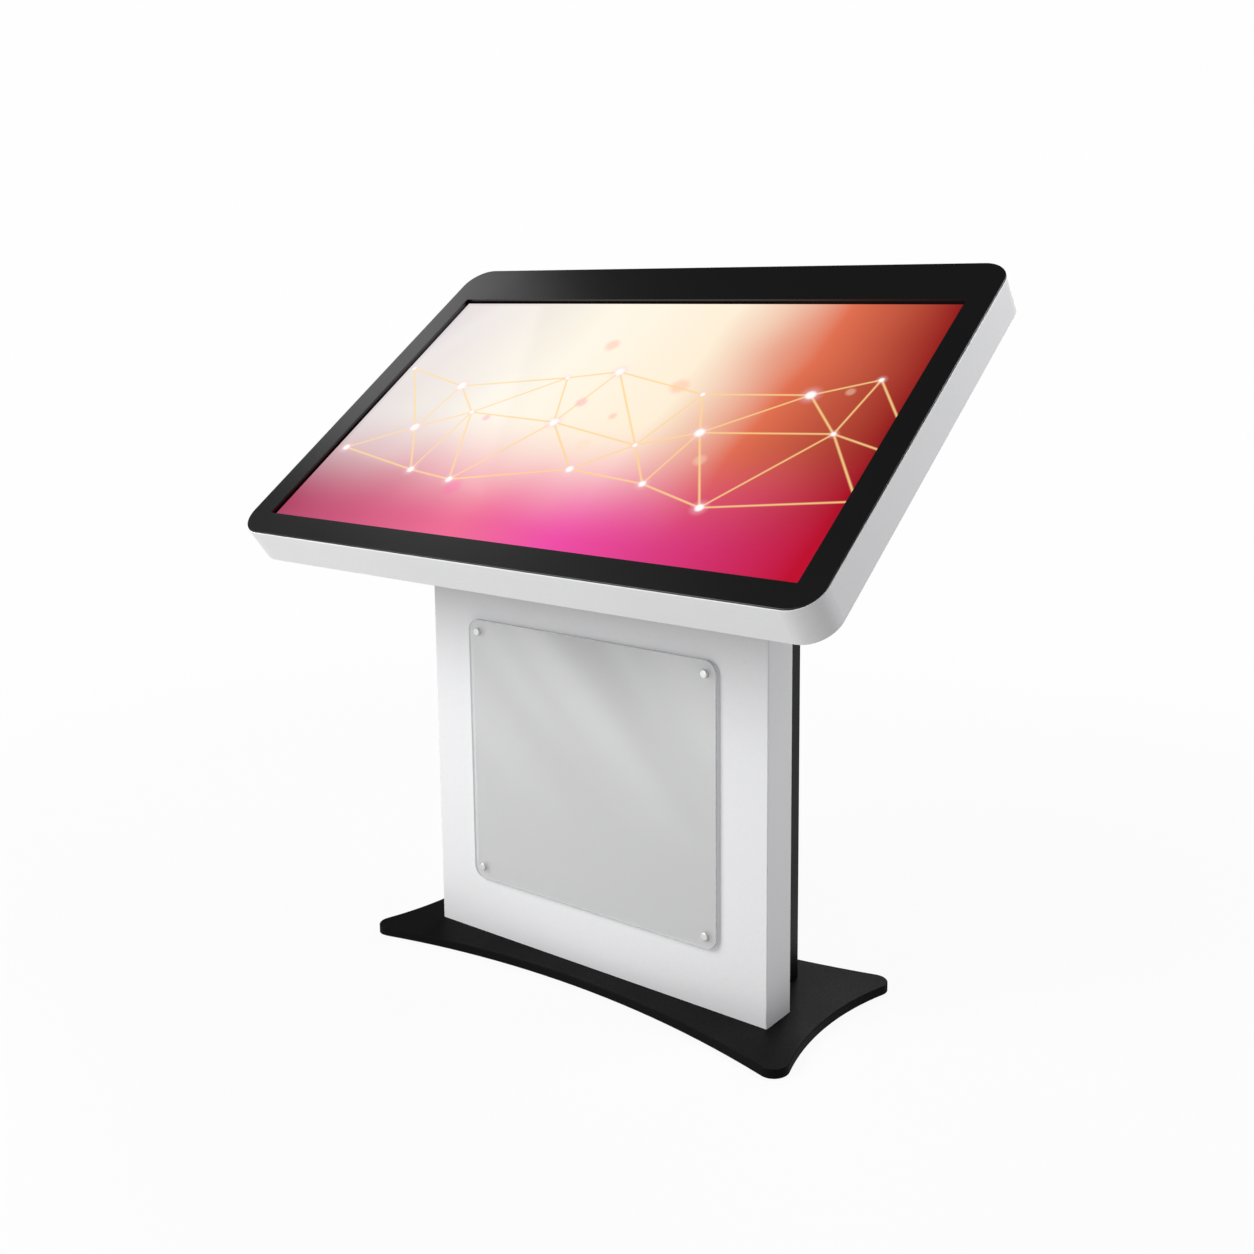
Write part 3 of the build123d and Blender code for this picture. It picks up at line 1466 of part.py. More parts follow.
nodes = {
    "base_plate": make_base_plate(),
    "base_mat": make_base_mat(),
    "base_bolts": make_base_bolts(),
    "column_feet": group([make_column_feet(), make_gussets()]),
    "column_posts": without_screws(group([make_post(-1), make_post(1)]), equipment_screws),
    "rail_bars": make_rail_bars(),
    "cradle_plate": make_cradle_plate(),
    "cradle_bolts": group([make_cradle_bolts(), make_cradle_washers(), make_cradle_nuts()]),
    "cable_grommet": make_cable_grommet(),
    "column_front_shell": without_screws(make_column_front_shell(), rear_box_screws),
    "rear_box_shell": without_screws(make_rear_box_shell(), rear_box_screws),
    "poster_panel": make_poster_panel(),
    "poster_spacers": make_poster_spacers(),
    "poster_bolts": group([make_poster_bolts(), make_poster_nuts()]),
    "front_bezel": make_front_bezel(),
    "head_side_band": without_screws(make_head_side_band(), cover_screws),
    "rear_cover": without_screws(make_rear_cover(), cover_screws),
    "inner_frame": group(make_inner_frame()),
    "touch_glass": make_touch_glass(),
    "touch_filters": make_touch_filters(),
    "touch_sensor_boards": make_touch_sensor_boards(),
    "display_gasket": make_display_gasket(),
    "display_front_frame": make_display_front_frame(),
    "display_cell": make_display_cell(),
    "diffuser_sheets": make_diffuser_sheets(),
    "light_guide": make_light_guide(),
    "led_bars": make_led_bars(),
    "display_chassis": make_display_chassis(),
    "panel_rails": make_panel_rails(),
    "scaler_board": make_scaler_board(),
    "touch_board": make_touch_board(),
    "board_standoffs": make_board_standoffs(),
    "speaker_boxes": make_speaker_boxes(),
    "speaker_cones": make_speaker_cones(),
    "equipment_plate": without_screws(make_equipment_plate(), equipment_screws),
    "pan_screws": group(rear_box_screws + cover_screws + equipment_screws + make_fan_screws()),
    "computer_case": make_computer_case(),
    "computer_lid": make_computer_lid(),
    "computer_board": make_computer_board(),
    "computer_button": make_computer_button(),
    "power_supply_case": make_power_supply_case(),
    "power_supply_board": make_power_supply_board(),
    "terminal_block": make_terminal_block(),
    "service_door": make_service_door(),
    "hinge_frame_leaves": make_hinge_frame_leaves(),
    "hinge_door_leaves": make_hinge_door_leaves(),
    "hinge_pins": make_hinge_pins(),
    "lock_barrel": make_lock_barrel(),
    "lock_nut": make_lock_nut(),
    "lock_plug": make_lock_plug(),
    "lock_cam": make_lock_cam() + make_cam_screw(),
    "fan_frames": group([make_fan_frame(-fan_x), make_fan_frame(fan_x)]),
    "fan_rotor_left": make_fan_rotor(-fan_x),
    "fan_rotor_right": make_fan_rotor(fan_x),
    "inlet_housing": make_inlet_housing(),
    "inlet_pins": make_inlet_pins(),
    "power_rocker": make_power_rocker(),
    "signal_cables": group([make_video_cable(), make_touch_cable()]),
    "display_power_lead": make_display_power_lead(),
    "mains_lead": make_mains_lead(),
}

for name, shape in nodes.items():
    export_step(shape, f"parts/{name}.step")
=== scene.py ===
"""Looks for a touchscreen kiosk: every piece's finish, the lit screen, the poster sheet and a studio."""

from math import cos, radians, sin

import bmesh
import bpy
from mathutils import Matrix, Vector


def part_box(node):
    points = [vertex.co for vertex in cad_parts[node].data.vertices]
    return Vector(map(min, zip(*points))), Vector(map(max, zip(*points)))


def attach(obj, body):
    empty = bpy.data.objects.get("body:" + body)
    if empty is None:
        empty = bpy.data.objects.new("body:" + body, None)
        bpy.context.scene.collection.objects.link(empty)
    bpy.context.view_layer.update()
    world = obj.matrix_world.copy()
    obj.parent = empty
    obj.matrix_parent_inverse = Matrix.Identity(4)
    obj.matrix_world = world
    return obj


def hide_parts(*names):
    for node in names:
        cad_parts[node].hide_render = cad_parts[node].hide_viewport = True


bl_info = {
    "name": "Touchscreen kiosk looks",
    "version": (1, 0, 0),
    "blender": (4, 5, 0),
    "location": "3D View > Sidebar > Kiosk",
    "description": "Finishes, screen picture, poster sheet and studio for a touchscreen kiosk",
    "category": "Object",
}

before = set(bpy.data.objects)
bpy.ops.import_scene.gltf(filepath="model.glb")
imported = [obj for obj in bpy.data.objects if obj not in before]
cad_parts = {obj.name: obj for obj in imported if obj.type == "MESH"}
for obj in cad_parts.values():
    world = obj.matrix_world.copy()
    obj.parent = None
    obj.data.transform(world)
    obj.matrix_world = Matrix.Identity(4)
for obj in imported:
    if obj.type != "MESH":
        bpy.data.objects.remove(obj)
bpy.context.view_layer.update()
MM = 0.001


# ---------------------------------------------------------------- colours and nodes
def linear(hex_colour):
    """sRGB hex to the linear red, green and blue that Blender works in."""
    channels = [int(hex_colour[i : i + 2], 16) / 255 for i in (1, 3, 5)]
    return tuple(c / 12.92 if c <= 0.04045 else ((c + 0.055) / 1.055) ** 2.4 for c in channels)


def rgba(colour):
    """A hex string or a linear triple as a linear colour with full alpha."""
    return (*(linear(colour) if isinstance(colour, str) else colour), 1.0)


def add_node(tree, kind, inputs=None, stops=None, **settings):
    """Adds a shader node. An input is a value or the socket that feeds it; stops colour a ramp."""
    node = tree.nodes.new("ShaderNode" + kind)
    for name, value in settings.items():
        setattr(node, name, value)
    for name, value in (inputs or {}).items():
        if isinstance(value, bpy.types.NodeSocket):
            tree.links.new(value, node.inputs[name])
        else:
            node.inputs[name].default_value = value
    if stops:
        ramp = node.color_ramp.elements
        while len(ramp) < len(stops):
            ramp.new(1.0)
        for element, (position, colour) in zip(ramp, stops):
            element.position = position
            element.color = rgba(colour)
    return node


def start_material(name):
    """A new material's tree, its shader and the socket with the piece's own coordinates in metres."""
    material = bpy.data.materials.new(name)
    material.use_nodes = True
    tree = material.node_tree
    place = add_node(tree, "TexCoord").outputs["Object"]
    return material, tree, tree.nodes["Principled BSDF"], place


def grained(name, light, dark, grain_mm, rough, relief_mm, stretch=(1, 1, 1), **sockets):
    """A surface whose colour, roughness and relief follow one grain, under a broad handling cloud."""
    material, tree, shader, place = start_material(name)
    scale = [1.0 / (grain_mm * MM * s) for s in stretch]
    grain_place = add_node(tree, "Mapping", {"Vector": place, "Scale": scale}).outputs[0]
    grain = add_node(tree, "TexNoise", {"Vector": grain_place, "Scale": 1.0, "Detail": 3.0}).outputs[0]
    # A soft cloud about 220 mm across, as handling and an uneven coat leave.
    cloud = add_node(tree, "TexNoise", {"Vector": place, "Scale": 4.5, "Detail": 2.0}).outputs[0]
    both = add_node(tree, "Math", {0: grain, 1: cloud}, operation="MULTIPLY").outputs[0]
    # The product of the two noises keeps mostly between these values.
    spread = {"Value": both, "From Min": 0.12, "From Max": 0.4}
    share = add_node(tree, "MapRange", spread).outputs[0]
    ramp = add_node(tree, "ValToRGB", {"Fac": share}, stops=[(0.0, dark), (1.0, light)])
    tree.links.new(ramp.outputs[0], shader.inputs["Base Color"])
    smooth, dull = rough
    sheen = add_node(tree, "MapRange", {**spread, "To Min": dull, "To Max": smooth})
    tree.links.new(sheen.outputs[0], shader.inputs["Roughness"])
    if relief_mm:
        bump = add_node(tree, "Bump", {"Height": grain, "Distance": relief_mm * MM, "Strength": 1.0})
        tree.links.new(bump.outputs[0], shader.inputs["Normal"])
    for socket, value in sockets.items():
        shader.inputs[socket.replace("_", " ")].default_value = value
    return material


def dress(material, *nodes):
    """Gives CAD pieces a finish through their object's slots."""
    for name in nodes:
        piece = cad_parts[name]
        for slot in piece.material_slots:
            slot.link = "OBJECT"
            slot.material = material
        if not piece.material_slots:
            raise RuntimeError(f"{name} has no material slot")


# ---------------------------------------------------------------- settings
class KioskFinishSettings(bpy.types.PropertyGroup):
    """Colours of the kiosk's outer finishes"""

    shell_white: bpy.props.FloatVectorProperty(
        name="White powder coat",
        description="Colour of the head's band and the column's front",
        subtype="COLOR",
        min=0.0,
        max=1.0,
        default=linear("#F0F0F1"),
    )
    shell_black: bpy.props.FloatVectorProperty(
        name="Black powder coat",
        description="Colour of the rear box, its door and the head's rear cover",
        subtype="COLOR",
        min=0.0,
        max=1.0,
        default=linear("#09090A"),
    )
    bezel_black: bpy.props.FloatVectorProperty(
        name="Bezel black",
        description="Colour of the frame round the glass",
        subtype="COLOR",
        min=0.0,
        max=1.0,
        default=linear("#0D0D0E"),
    )
    base_black: bpy.props.FloatVectorProperty(
        name="Base black",
        description="Colour of the base plate",
        subtype="COLOR",
        min=0.0,
        max=1.0,
        default=linear("#080809"),
    )
    poster_grey: bpy.props.FloatVectorProperty(
        name="Poster sheet grey",
        description="Tint of the acrylic poster sheet",
        subtype="COLOR",
        min=0.0,
        max=1.0,
        default=linear("#E3E3E3"),
    )


class KioskScreenSettings(bpy.types.PropertyGroup):
    """Sizes and light of the screen"""

    tilt: bpy.props.FloatProperty(
        name="Tilt",
        description="Slope of the glass from the horizontal",
        subtype="ANGLE",
        unit="ROTATION",
        default=radians(36.9),
    )
    lit_width: bpy.props.FloatProperty(
        name="Lit width",
        description="Width of the picture",
        subtype="DISTANCE",
        unit="LENGTH",
        default=0.9412,
    )
    lit_height: bpy.props.FloatProperty(
        name="Lit height",
        description="Height of the picture",
        subtype="DISTANCE",
        unit="LENGTH",
        default=0.5294,
    )
    light: bpy.props.FloatProperty(
        name="Backlight",
        description="Strength of the picture's own light",
        min=0.0,
        default=1.0,
    )


class KioskPosterSettings(bpy.types.PropertyGroup):
    """Sizes of the acrylic poster sheet"""

    corner: bpy.props.FloatProperty(
        name="Corner radius",
        description="Radius of the sheet's corners",
        subtype="DISTANCE",
        unit="LENGTH",
        default=0.020,
    )
    chamfer: bpy.props.FloatProperty(
        name="Polished chamfer",
        description="Width of the flame-polished chamfer round the sheet",
        subtype="DISTANCE",
        unit="LENGTH",
        default=0.0008,
    )
    hole: bpy.props.FloatProperty(
        name="Bolt hole radius",
        description="Radius of the sheet's four bolt holes",
        subtype="DISTANCE",
        unit="LENGTH",
        default=0.00275,
    )
    cap: bpy.props.FloatProperty(
        name="Bolt cap radius",
        description="Radius of the caps on the sheet's four bolts",
        subtype="DISTANCE",
        unit="LENGTH",
        default=0.006,
    )


class KioskStageSettings(bpy.types.PropertyGroup):
    """The studio's floor, lights and camera"""

    floor_radius: bpy.props.FloatProperty(
        name="Floor radius",
        description="Radius of the round studio floor",
        subtype="DISTANCE",
        unit="LENGTH",
        default=14.0,
    )
    key_power: bpy.props.FloatProperty(
        name="Key light",
        description="Power of the large soft light at the front left",
        subtype="POWER",
        unit="POWER",
        default=95.0,
    )
    fill_power: bpy.props.FloatProperty(
        name="Fill light",
        description="Power of the soft light behind the kiosk",
        subtype="POWER",
        unit="POWER",
        default=45.0,
    )
    lens: bpy.props.FloatProperty(
        name="Lens",
        description="Focal length on a 36 mm wide sensor",
        subtype="DISTANCE_CAMERA",
        unit="CAMERA",
        default=40.3,
    )


# ---------------------------------------------------------------- outer shells
class KIOSK_OT_shells(bpy.types.Operator):
    """Powder coats the head's band, the column, the rear box and the covers"""

    bl_idname = "kiosk.shells"
    bl_label = "Coat the shells"

    def execute(self, context):
        finish = context.scene.kiosk_finish
        # Baked polyester powder on folded steel, semi-gloss: even and bright, with a faint orange peel.
        # Its real ripple is about 1.5 mm, too fine to show, so it is drawn at 5 mm.
        white = grained(
            "powder_coat_semi_gloss_white",
            finish.shell_white,
            [c * 0.97 for c in finish.shell_white],
            5.0,
            (0.30, 0.40),
            0.035,
        )
        dress(white, "head_side_band", "column_front_shell")
        # The same powder in black, a little flatter, so its ripple shows in the highlights.
        black = grained(
            "powder_coat_satin_black",
            finish.shell_black,
            [c * 0.72 for c in finish.shell_black],
            4.0,
            (0.38, 0.5),
            0.05,
            Specular_IOR_Level=0.3,
        )
        dress(black, "rear_box_shell", "rear_cover", "service_door")
        return {"FINISHED"}


class KIOSK_OT_base(bpy.types.Operator):
    """Gives the base plate its textured black powder and its rubber sheet"""

    bl_idname = "kiosk.base"
    bl_label = "Finish the base"

    def execute(self, context):
        finish = context.scene.kiosk_finish
        # Fine-textured powder on 13 mm steel plate: matt, and sandy close up.
        # Its real grit is about 0.4 mm; it is drawn at 2.2 mm so that it shows.
        texture = grained(
            "textured_powder_black",
            [c * 1.25 for c in finish.base_black],
            [c * 0.7 for c in finish.base_black],
            2.2,
            (0.52, 0.68),
            0.12,
            Specular_IOR_Level=0.08,
        )
        dress(texture, "base_plate")
        # Sheet rubber: dull, slightly mottled.
        rubber = grained("sheet_rubber_black", "#222222", "#141414", 3.0, (0.75, 0.9), 0.1)
        dress(rubber, "base_mat", "cable_grommet")
        return {"FINISHED"}


class KIOSK_OT_bezel(bpy.types.Operator):
    """Finishes the frame round the glass and the infrared filter bars inside it"""

    bl_idname = "kiosk.bezel"
    bl_label = "Finish the bezel"

    def execute(self, context):
        finish = context.scene.kiosk_finish
        # Anodised and bead-blasted aluminium sheet, dyed black: satin, with a tight even grain.
        # Its real grain is about 0.3 mm, drawn at 1.8 mm.
        bezel = grained(
            "blasted_anodised_black",
            [c * 1.1 for c in finish.bezel_black],
            [c * 0.85 for c in finish.bezel_black],
            1.8,
            (0.32, 0.38),
            0.003,
        )
        dress(bezel, "front_bezel")
        # Extruded polycarbonate that passes only infrared: black with a deep red cast and a clean gloss.
        bars = grained(
            "extruded_filter_bar", "#1A0B0C", "#0C0607", 60.0, (0.12, 0.18), 0.0, (0.05, 1, 1)
        )
        dress(bars, "touch_filters")
        return {"FINISHED"}


# ---------------------------------------------------------------- the lit screen
# The net on the screen is a staggered grid of stars, in millimetres from the picture's middle.
NET_COLUMNS = 7
NET_ROWS = 3
NET_PITCH = (150.0, 105.0)
NET_MIDDLE = -30.0
# How far a star strays from its place in the grid, across and up.
NET_STRAY = (34.0, 26.0)
STAR_RADIUS = (4.0, 9.0)
LINE_WIDTH = 3.0
LINE_LIGHT = 0.85
# Soft discs of light out of focus, wound outwards over this reach across and up.
DISC_COUNT = 9
DISC_REACH = (430.0, 230.0)
DISC_TINTS = ("#FFA080", "#FF70B0", "#FFE0C0")
DISC_LIGHT = 0.35
# A disc's full core, as a share of its radius.
DISC_CORE = 0.35
# Where a star's core and its halo start to fall and where they end, in radii of its bright core.
STAR_CORE = (0.5, 1.25)
STAR_HALO = (0.0, 2.6)
HALO_LIGHT = 0.5
# How far the backdrop sways, in millimetres, and how far it leans for each millimetre up.
SWAY = 32.0
LEAN = -0.05


def make_group(name, inputs, output):
    """An empty node group with its input and output sockets."""
    group = bpy.data.node_groups.new(name, "ShaderNodeTree")
    for socket, kind in inputs:
        group.interface.new_socket(socket, in_out="INPUT", socket_type="NodeSocket" + kind)
    group.interface.new_socket(output, in_out="OUTPUT", socket_type="NodeSocketFloat")
    return group, group.nodes.new("NodeGroupInput").outputs, group.nodes.new("NodeGroupOutput")


def beam_group():
    """A straight soft line between two places, its width running from one end's to the other's."""
    sockets = [("Place", "Vector"), ("Start", "Vector"), ("End", "Vector")]
    sockets += [("Start width", "Float"), ("End width", "Float"), ("Light", "Float")]
    group, given, result = make_group("screen_beam", sockets, "Light")
    out = add_node(group, "VectorMath", {0: given["Place"], 1: given["Start"]}, operation="SUBTRACT")
    run = add_node(group, "VectorMath", {0: given["End"], 1: given["Start"]}, operation="SUBTRACT")
    dot = {"operation": "DOT_PRODUCT"}
    along = add_node(group, "VectorMath", {0: out.outputs[0], 1: run.outputs[0]}, **dot)
    whole = add_node(group, "VectorMath", {0: run.outputs[0], 1: run.outputs[0]}, **dot)
    share = add_node(
        group,
        "Math",
        {0: along.outputs["Value"], 1: whole.outputs["Value"]},
        operation="DIVIDE",
        use_clamp=True,
    ).outputs[0]
    foot = add_node(
        group, "VectorMath", {0: run.outputs[0], "Scale": share}, operation="SCALE"
    ).outputs[0]
    off = add_node(group, "VectorMath", {0: out.outputs[0], 1: foot}, operation="DISTANCE")
    width = add_node(
        group,
        "MapRange",
        {"Value": share, "To Min": given["Start width"], "To Max": given["End width"]},
    ).outputs[0]
    fall = add_node(
        group,
        "MapRange",
        {
            "Value": off.outputs["Value"],
            "From Min": 0.0,
            "From Max": width,
            "To Min": given["Light"],
            "To Max": 0.0,
        },
        interpolation_type="SMOOTHSTEP",
    ).outputs[0]
    group.links.new(fall, result.inputs[0])
    return group


def disc_group():
    """A round soft light: full at its middle and nothing at its radius."""
    sockets = [("Place", "Vector"), ("Middle", "Vector"), ("Core", "Float"), ("Radius", "Float")]
    group, given, result = make_group("screen_disc", sockets, "Light")
    off = add_node(group, "VectorMath", {0: given["Place"], 1: given["Middle"]}, operation="DISTANCE")
    fall = add_node(
        group,
        "MapRange",
        {
            "Value": off.outputs["Value"],
            "From Min": given["Core"],
            "From Max": given["Radius"],
            "To Min": 1.0,
            "To Max": 0.0,
        },
        interpolation_type="SMOOTHSTEP",
    ).outputs[0]
    group.links.new(fall, result.inputs[0])
    return group


def sum_of(tree, sockets):
    """One socket that holds the sum of several."""
    total = sockets[0]
    for socket in sockets[1:]:
        total = add_node(tree, "Math", {0: total, 1: socket}, operation="ADD").outputs[0]
    return total


def over(tree, share, below, above):
    """One colour laid over another by a share from 0 to 1. Either is a socket or a hex string."""
    mix = {0: share, 6: below, 7: above}
    mix = {key: rgba(value) if isinstance(value, str) else value for key, value in mix.items()}
    return add_node(tree, "Mix", mix, data_type="RGBA", clamp_factor=True).outputs[2]


def backdrop(tree, across, up):
    """The picture's broad colours: pearl and cream going to red, over rose going to crimson."""
    upper = [(0.0, "#E0D8D8"), (0.35, "#FFF8E8"), (0.6, "#FFF0D8"), (0.8, "#E07050"), (1.0, "#901018")]
    lower = [(0.0, "#B04868"), (0.4, "#F07098"), (0.6, "#F050A8"), (1.0, "#C01030")]
    high = add_node(tree, "ValToRGB", {"Fac": across}, stops=upper).outputs[0]
    low = add_node(tree, "ValToRGB", {"Fac": across}, stops=lower).outputs[0]
    drop = add_node(
        tree,
        "MapRange",
        {"Value": up, "From Min": 0.0, "From Max": -250.0},
        interpolation_type="SMOOTHSTEP",
    ).outputs[0]
    return over(tree, drop, high, low)


def rays_and_painted_reflection(tree, place):
    """Wide slanting rays of pale light, strongest at the upper left: partly the picture's own rays and
    partly a painted reflection of the lamps in the glass.
    """
    slant = add_node(
        tree,
        "Mapping",
        {"Vector": place, "Rotation": (0, 0, radians(56)), "Scale": (900, 120, 1)},
        vector_type="TEXTURE",
    ).outputs[0]
    rays = add_node(tree, "TexNoise", {"Vector": slant, "Scale": 1.0, "Detail": 1.0}).outputs[0]
    ray = add_node(
        tree,
        "MapRange",
        {"Value": rays, "From Min": 0.4, "From Max": 0.8, "To Max": 0.2},
        interpolation_type="SMOOTHSTEP",
    ).outputs[0]
    part = add_node(tree, "SeparateXYZ", {0: place}).outputs
    # The painted reflection and the rays are kept to the upper left of the picture.
    left = add_node(tree, "MapRange", {"Value": part["X"], "From Min": 40.0, "From Max": -260.0})
    high = add_node(tree, "MapRange", {"Value": part["Y"], "From Min": -120.0, "From Max": 60.0})
    both = add_node(tree, "Math", {0: left.outputs[0], 1: high.outputs[0]}, operation="MULTIPLY")
    return add_node(tree, "Math", {0: ray, 1: both.outputs[0]}, operation="MULTIPLY").outputs[0]


def star(column, row):
    """Place and core radius of one star: its place in the grid, strayed by its own sines."""
    pitch_across, pitch_up = NET_PITCH
    stray_across, stray_up = NET_STRAY
    least, most = STAR_RADIUS
    across = (column - (NET_COLUMNS - 1) / 2 + 0.5 * (row % 2)) * pitch_across
    up = NET_MIDDLE + (row - (NET_ROWS - 1) / 2) * pitch_up
    across += stray_across * sin(2.3 * column + 1.7 * row)
    up += stray_up * cos(1.9 * column - 2.6 * row)
    radius = least + (most - least) * (0.5 + 0.5 * sin(3.1 * column + 2.2 * row))
    return across, up, radius


def net():
    """Every star by its column and row, and the pairs of stars that a line joins."""
    stars = {(c, r): star(c, r) for r in range(NET_ROWS) for c in range(NET_COLUMNS)}
    joins = []
    for column, row in stars:
        # Odd rows stand half a pitch to the right, so the two stars above shift with them.
        above = column + row % 2
        for other in ((column + 1, row), (above, row + 1), (above - 1, row + 1)):
            if other in stars:
                joins.append((stars[column, row], stars[other]))
    return stars.values(), joins


def discs():
    """Place, radius and tint of each soft disc, a golden angle of 2.4 radians apart."""
    for i in range(DISC_COUNT):
        reach = (i + 0.5) / DISC_COUNT
        place = (DISC_REACH[0] * reach * cos(2.4 * i), DISC_REACH[1] * reach * sin(2.4 * i))
        yield place, 10.0 + 4.0 * (i % 4), DISC_TINTS[i % len(DISC_TINTS)]


def broad_colours(tree, place, part):
    """The backdrop, leaned and swayed a little so that no edge between its colours is straight."""
    half = bpy.context.scene.kiosk_screen.lit_width / MM / 2
    # Slow waves about 200 mm long.
    wander = add_node(tree, "TexNoise", {"Vector": place, "Scale": 0.005, "Detail": 1.0}).outputs[0]
    sway = add_node(tree, "MapRange", {"Value": wander, "To Min": -SWAY, "To Max": SWAY}).outputs[0]
    leaned = {0: part["Y"], 1: LEAN, 2: part["X"]}
    leaned = add_node(tree, "Math", leaned, operation="MULTIPLY_ADD").outputs[0]
    leaned = add_node(tree, "Math", {0: leaned, 1: sway}, operation="ADD").outputs[0]
    span = {"Value": leaned, "From Min": -half, "From Max": half}
    across = add_node(tree, "MapRange", span).outputs[0]
    up = add_node(tree, "Math", {0: part["Y"], 1: sway}, operation="ADD").outputs[0]
    return backdrop(tree, across, up)


def soft_disc(tree, group, place, middle, core, radius):
    """One soft disc's light at a place: full within its core and nothing at its radius."""
    inputs = {"Place": place, "Middle": (*middle, 0.0), "Core": core, "Radius": radius}
    return add_node(tree, "Group", inputs, node_tree=group).outputs[0]


def net_line(tree, group, place, start, end):
    """The light of the line between two stars at a place."""
    inputs = {
        "Place": place,
        "Start": (*start[:2], 0.0),
        "End": (*end[:2], 0.0),
        "Start width": LINE_WIDTH,
        "End width": LINE_WIDTH,
        "Light": LINE_LIGHT,
    }
    return add_node(tree, "Group", inputs, node_tree=group).outputs[0]


def picture_colour(tree, place):
    """The whole picture's colour at a place in millimetres from its middle."""
    beam, disc = beam_group(), disc_group()
    part = add_node(tree, "SeparateXYZ", {0: place}).outputs
    colour = broad_colours(tree, place, part)
    # Pale rays laid over in white: partly the picture's own, partly a painted reflection of the lamps in
    # the glass.
    colour = over(tree, rays_and_painted_reflection(tree, place), colour, "#FFFFFF")

    for middle, radius, tint in discs():
        light = soft_disc(tree, disc, place, middle, radius * DISC_CORE, radius)
        share = add_node(tree, "Math", {0: light, 1: DISC_LIGHT}, operation="MULTIPLY").outputs[0]
        colour = over(tree, share, colour, tint)

    stars, joins = net()
    beams = [net_line(tree, beam, place, start, end) for start, end in joins]
    cores, halos = [], []
    for across, up, radius in stars:
        for found, (inner, outer) in ((cores, STAR_CORE), (halos, STAR_HALO)):
            light = soft_disc(tree, disc, place, (across, up), radius * inner, radius * outer)
            found.append(light)
    colour = over(tree, sum_of(tree, beams), colour, "#FFD890")
    glow = {0: sum_of(tree, halos), 1: HALO_LIGHT}
    glow = add_node(tree, "Math", glow, operation="MULTIPLY").outputs[0]
    colour = over(tree, glow, colour, "#FFD0D8")
    return over(tree, sum_of(tree, cores), colour, "#FFFFFF")


def screen_material(name, piece, rough):
    """A glossy black sheet whose top face shows the picture inside the lit area."""
    settings = bpy.context.scene.kiosk_screen
    material, tree, shader, place = start_material(name)
    low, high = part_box(piece)
    middle = (low + high) / 2
    flat = add_node(
        tree,
        "Mapping",
        {
            "Vector": place,
            "Location": middle,
            "Rotation": (settings.tilt, 0, 0),
            "Scale": (MM, MM, MM),
        },
        vector_type="TEXTURE",
    ).outputs[0]
    # Flattened on to the picture's plane, so that a place has no height.
    flat = add_node(tree, "VectorMath", {0: flat, 1: (1, 1, 0)}, operation="MULTIPLY").outputs[0]
    size = add_node(tree, "VectorMath", {0: flat}, operation="ABSOLUTE").outputs[0]
    part = add_node(tree, "SeparateXYZ", {0: size}).outputs
    inside = []
    for socket, length in (("X", settings.lit_width), ("Y", settings.lit_height)):
        limit = {0: part[socket], 1: length / MM / 2}
        inside.append(add_node(tree, "Math", limit, operation="LESS_THAN").outputs[0])
    normal = add_node(tree, "NewGeometry").outputs["Normal"]
    out = (0, -sin(settings.tilt), cos(settings.tilt))
    facing = add_node(tree, "VectorMath", {0: normal, 1: out}, operation="DOT_PRODUCT")
    top = add_node(tree, "Math", {0: facing.outputs["Value"], 1: 0.9}, operation="GREATER_THAN")
    mask = add_node(tree, "Math", {0: inside[0], 1: inside[1]}, operation="MULTIPLY").outputs[0]
    mask = add_node(tree, "Math", {0: mask, 1: top.outputs[0]}, operation="MULTIPLY").outputs[0]
    shown = over(tree, mask, "#000000", picture_colour(tree, flat))
    tree.links.new(shown, shader.inputs["Emission Color"])
    shader.inputs["Emission Strength"].default_value = settings.light
    shader.inputs["Base Color"].default_value = rgba("#030304")
    shader.inputs["Roughness"].default_value = rough
    shader.inputs["IOR"].default_value = 1.5
    # The anti-reflective coat on the glass leaves about a quarter of the bare reflection.
    shader.inputs["Specular IOR Level"].default_value = 0.12
    return material


class KIOSK_OT_screen(bpy.types.Operator):
    """Lights the picture in the bonded glass and in the panel under it"""

    bl_idname = "kiosk.screen"
    bl_label = "Light the screen"

    def execute(self, context):
        # Toughened glass bonded to the panel, so the picture lies right under its face.
        dress(screen_material("bonded_toughened_glass", "touch_glass", 0.08), "touch_glass")
        # The liquid-crystal cell itself, with its matt anti-glare film.
        dress(screen_material("liquid_crystal_cell", "display_cell", 0.35), "display_cell")
        return {"FINISHED"}


# ---------------------------------------------------------------- poster sheet
def rounded_outline(half_x, half_z, radius, steps=12):
    """Points round a rectangle with rounded corners, from the corner at the right and top."""
    points = []
    for side_x, side_z, start in ((1, 1, 0), (-1, 1, 90), (-1, -1, 180), (1, -1, 270)):
        middle_x = side_x * (half_x - radius)
        middle_z = side_z * (half_z - radius)
        for i in range(steps + 1):
            turn = radians(start + 90 * i / steps)
            points.append((middle_x + radius * cos(turn), middle_z + radius * sin(turn)))
    return points


def circle(middle_x, middle_z, radius, steps=24):
    """Points round a circle."""
    turns = [radians(360 * i / steps) for i in range(steps)]
    return [(middle_x + radius * cos(turn), middle_z + radius * sin(turn)) for turn in turns]


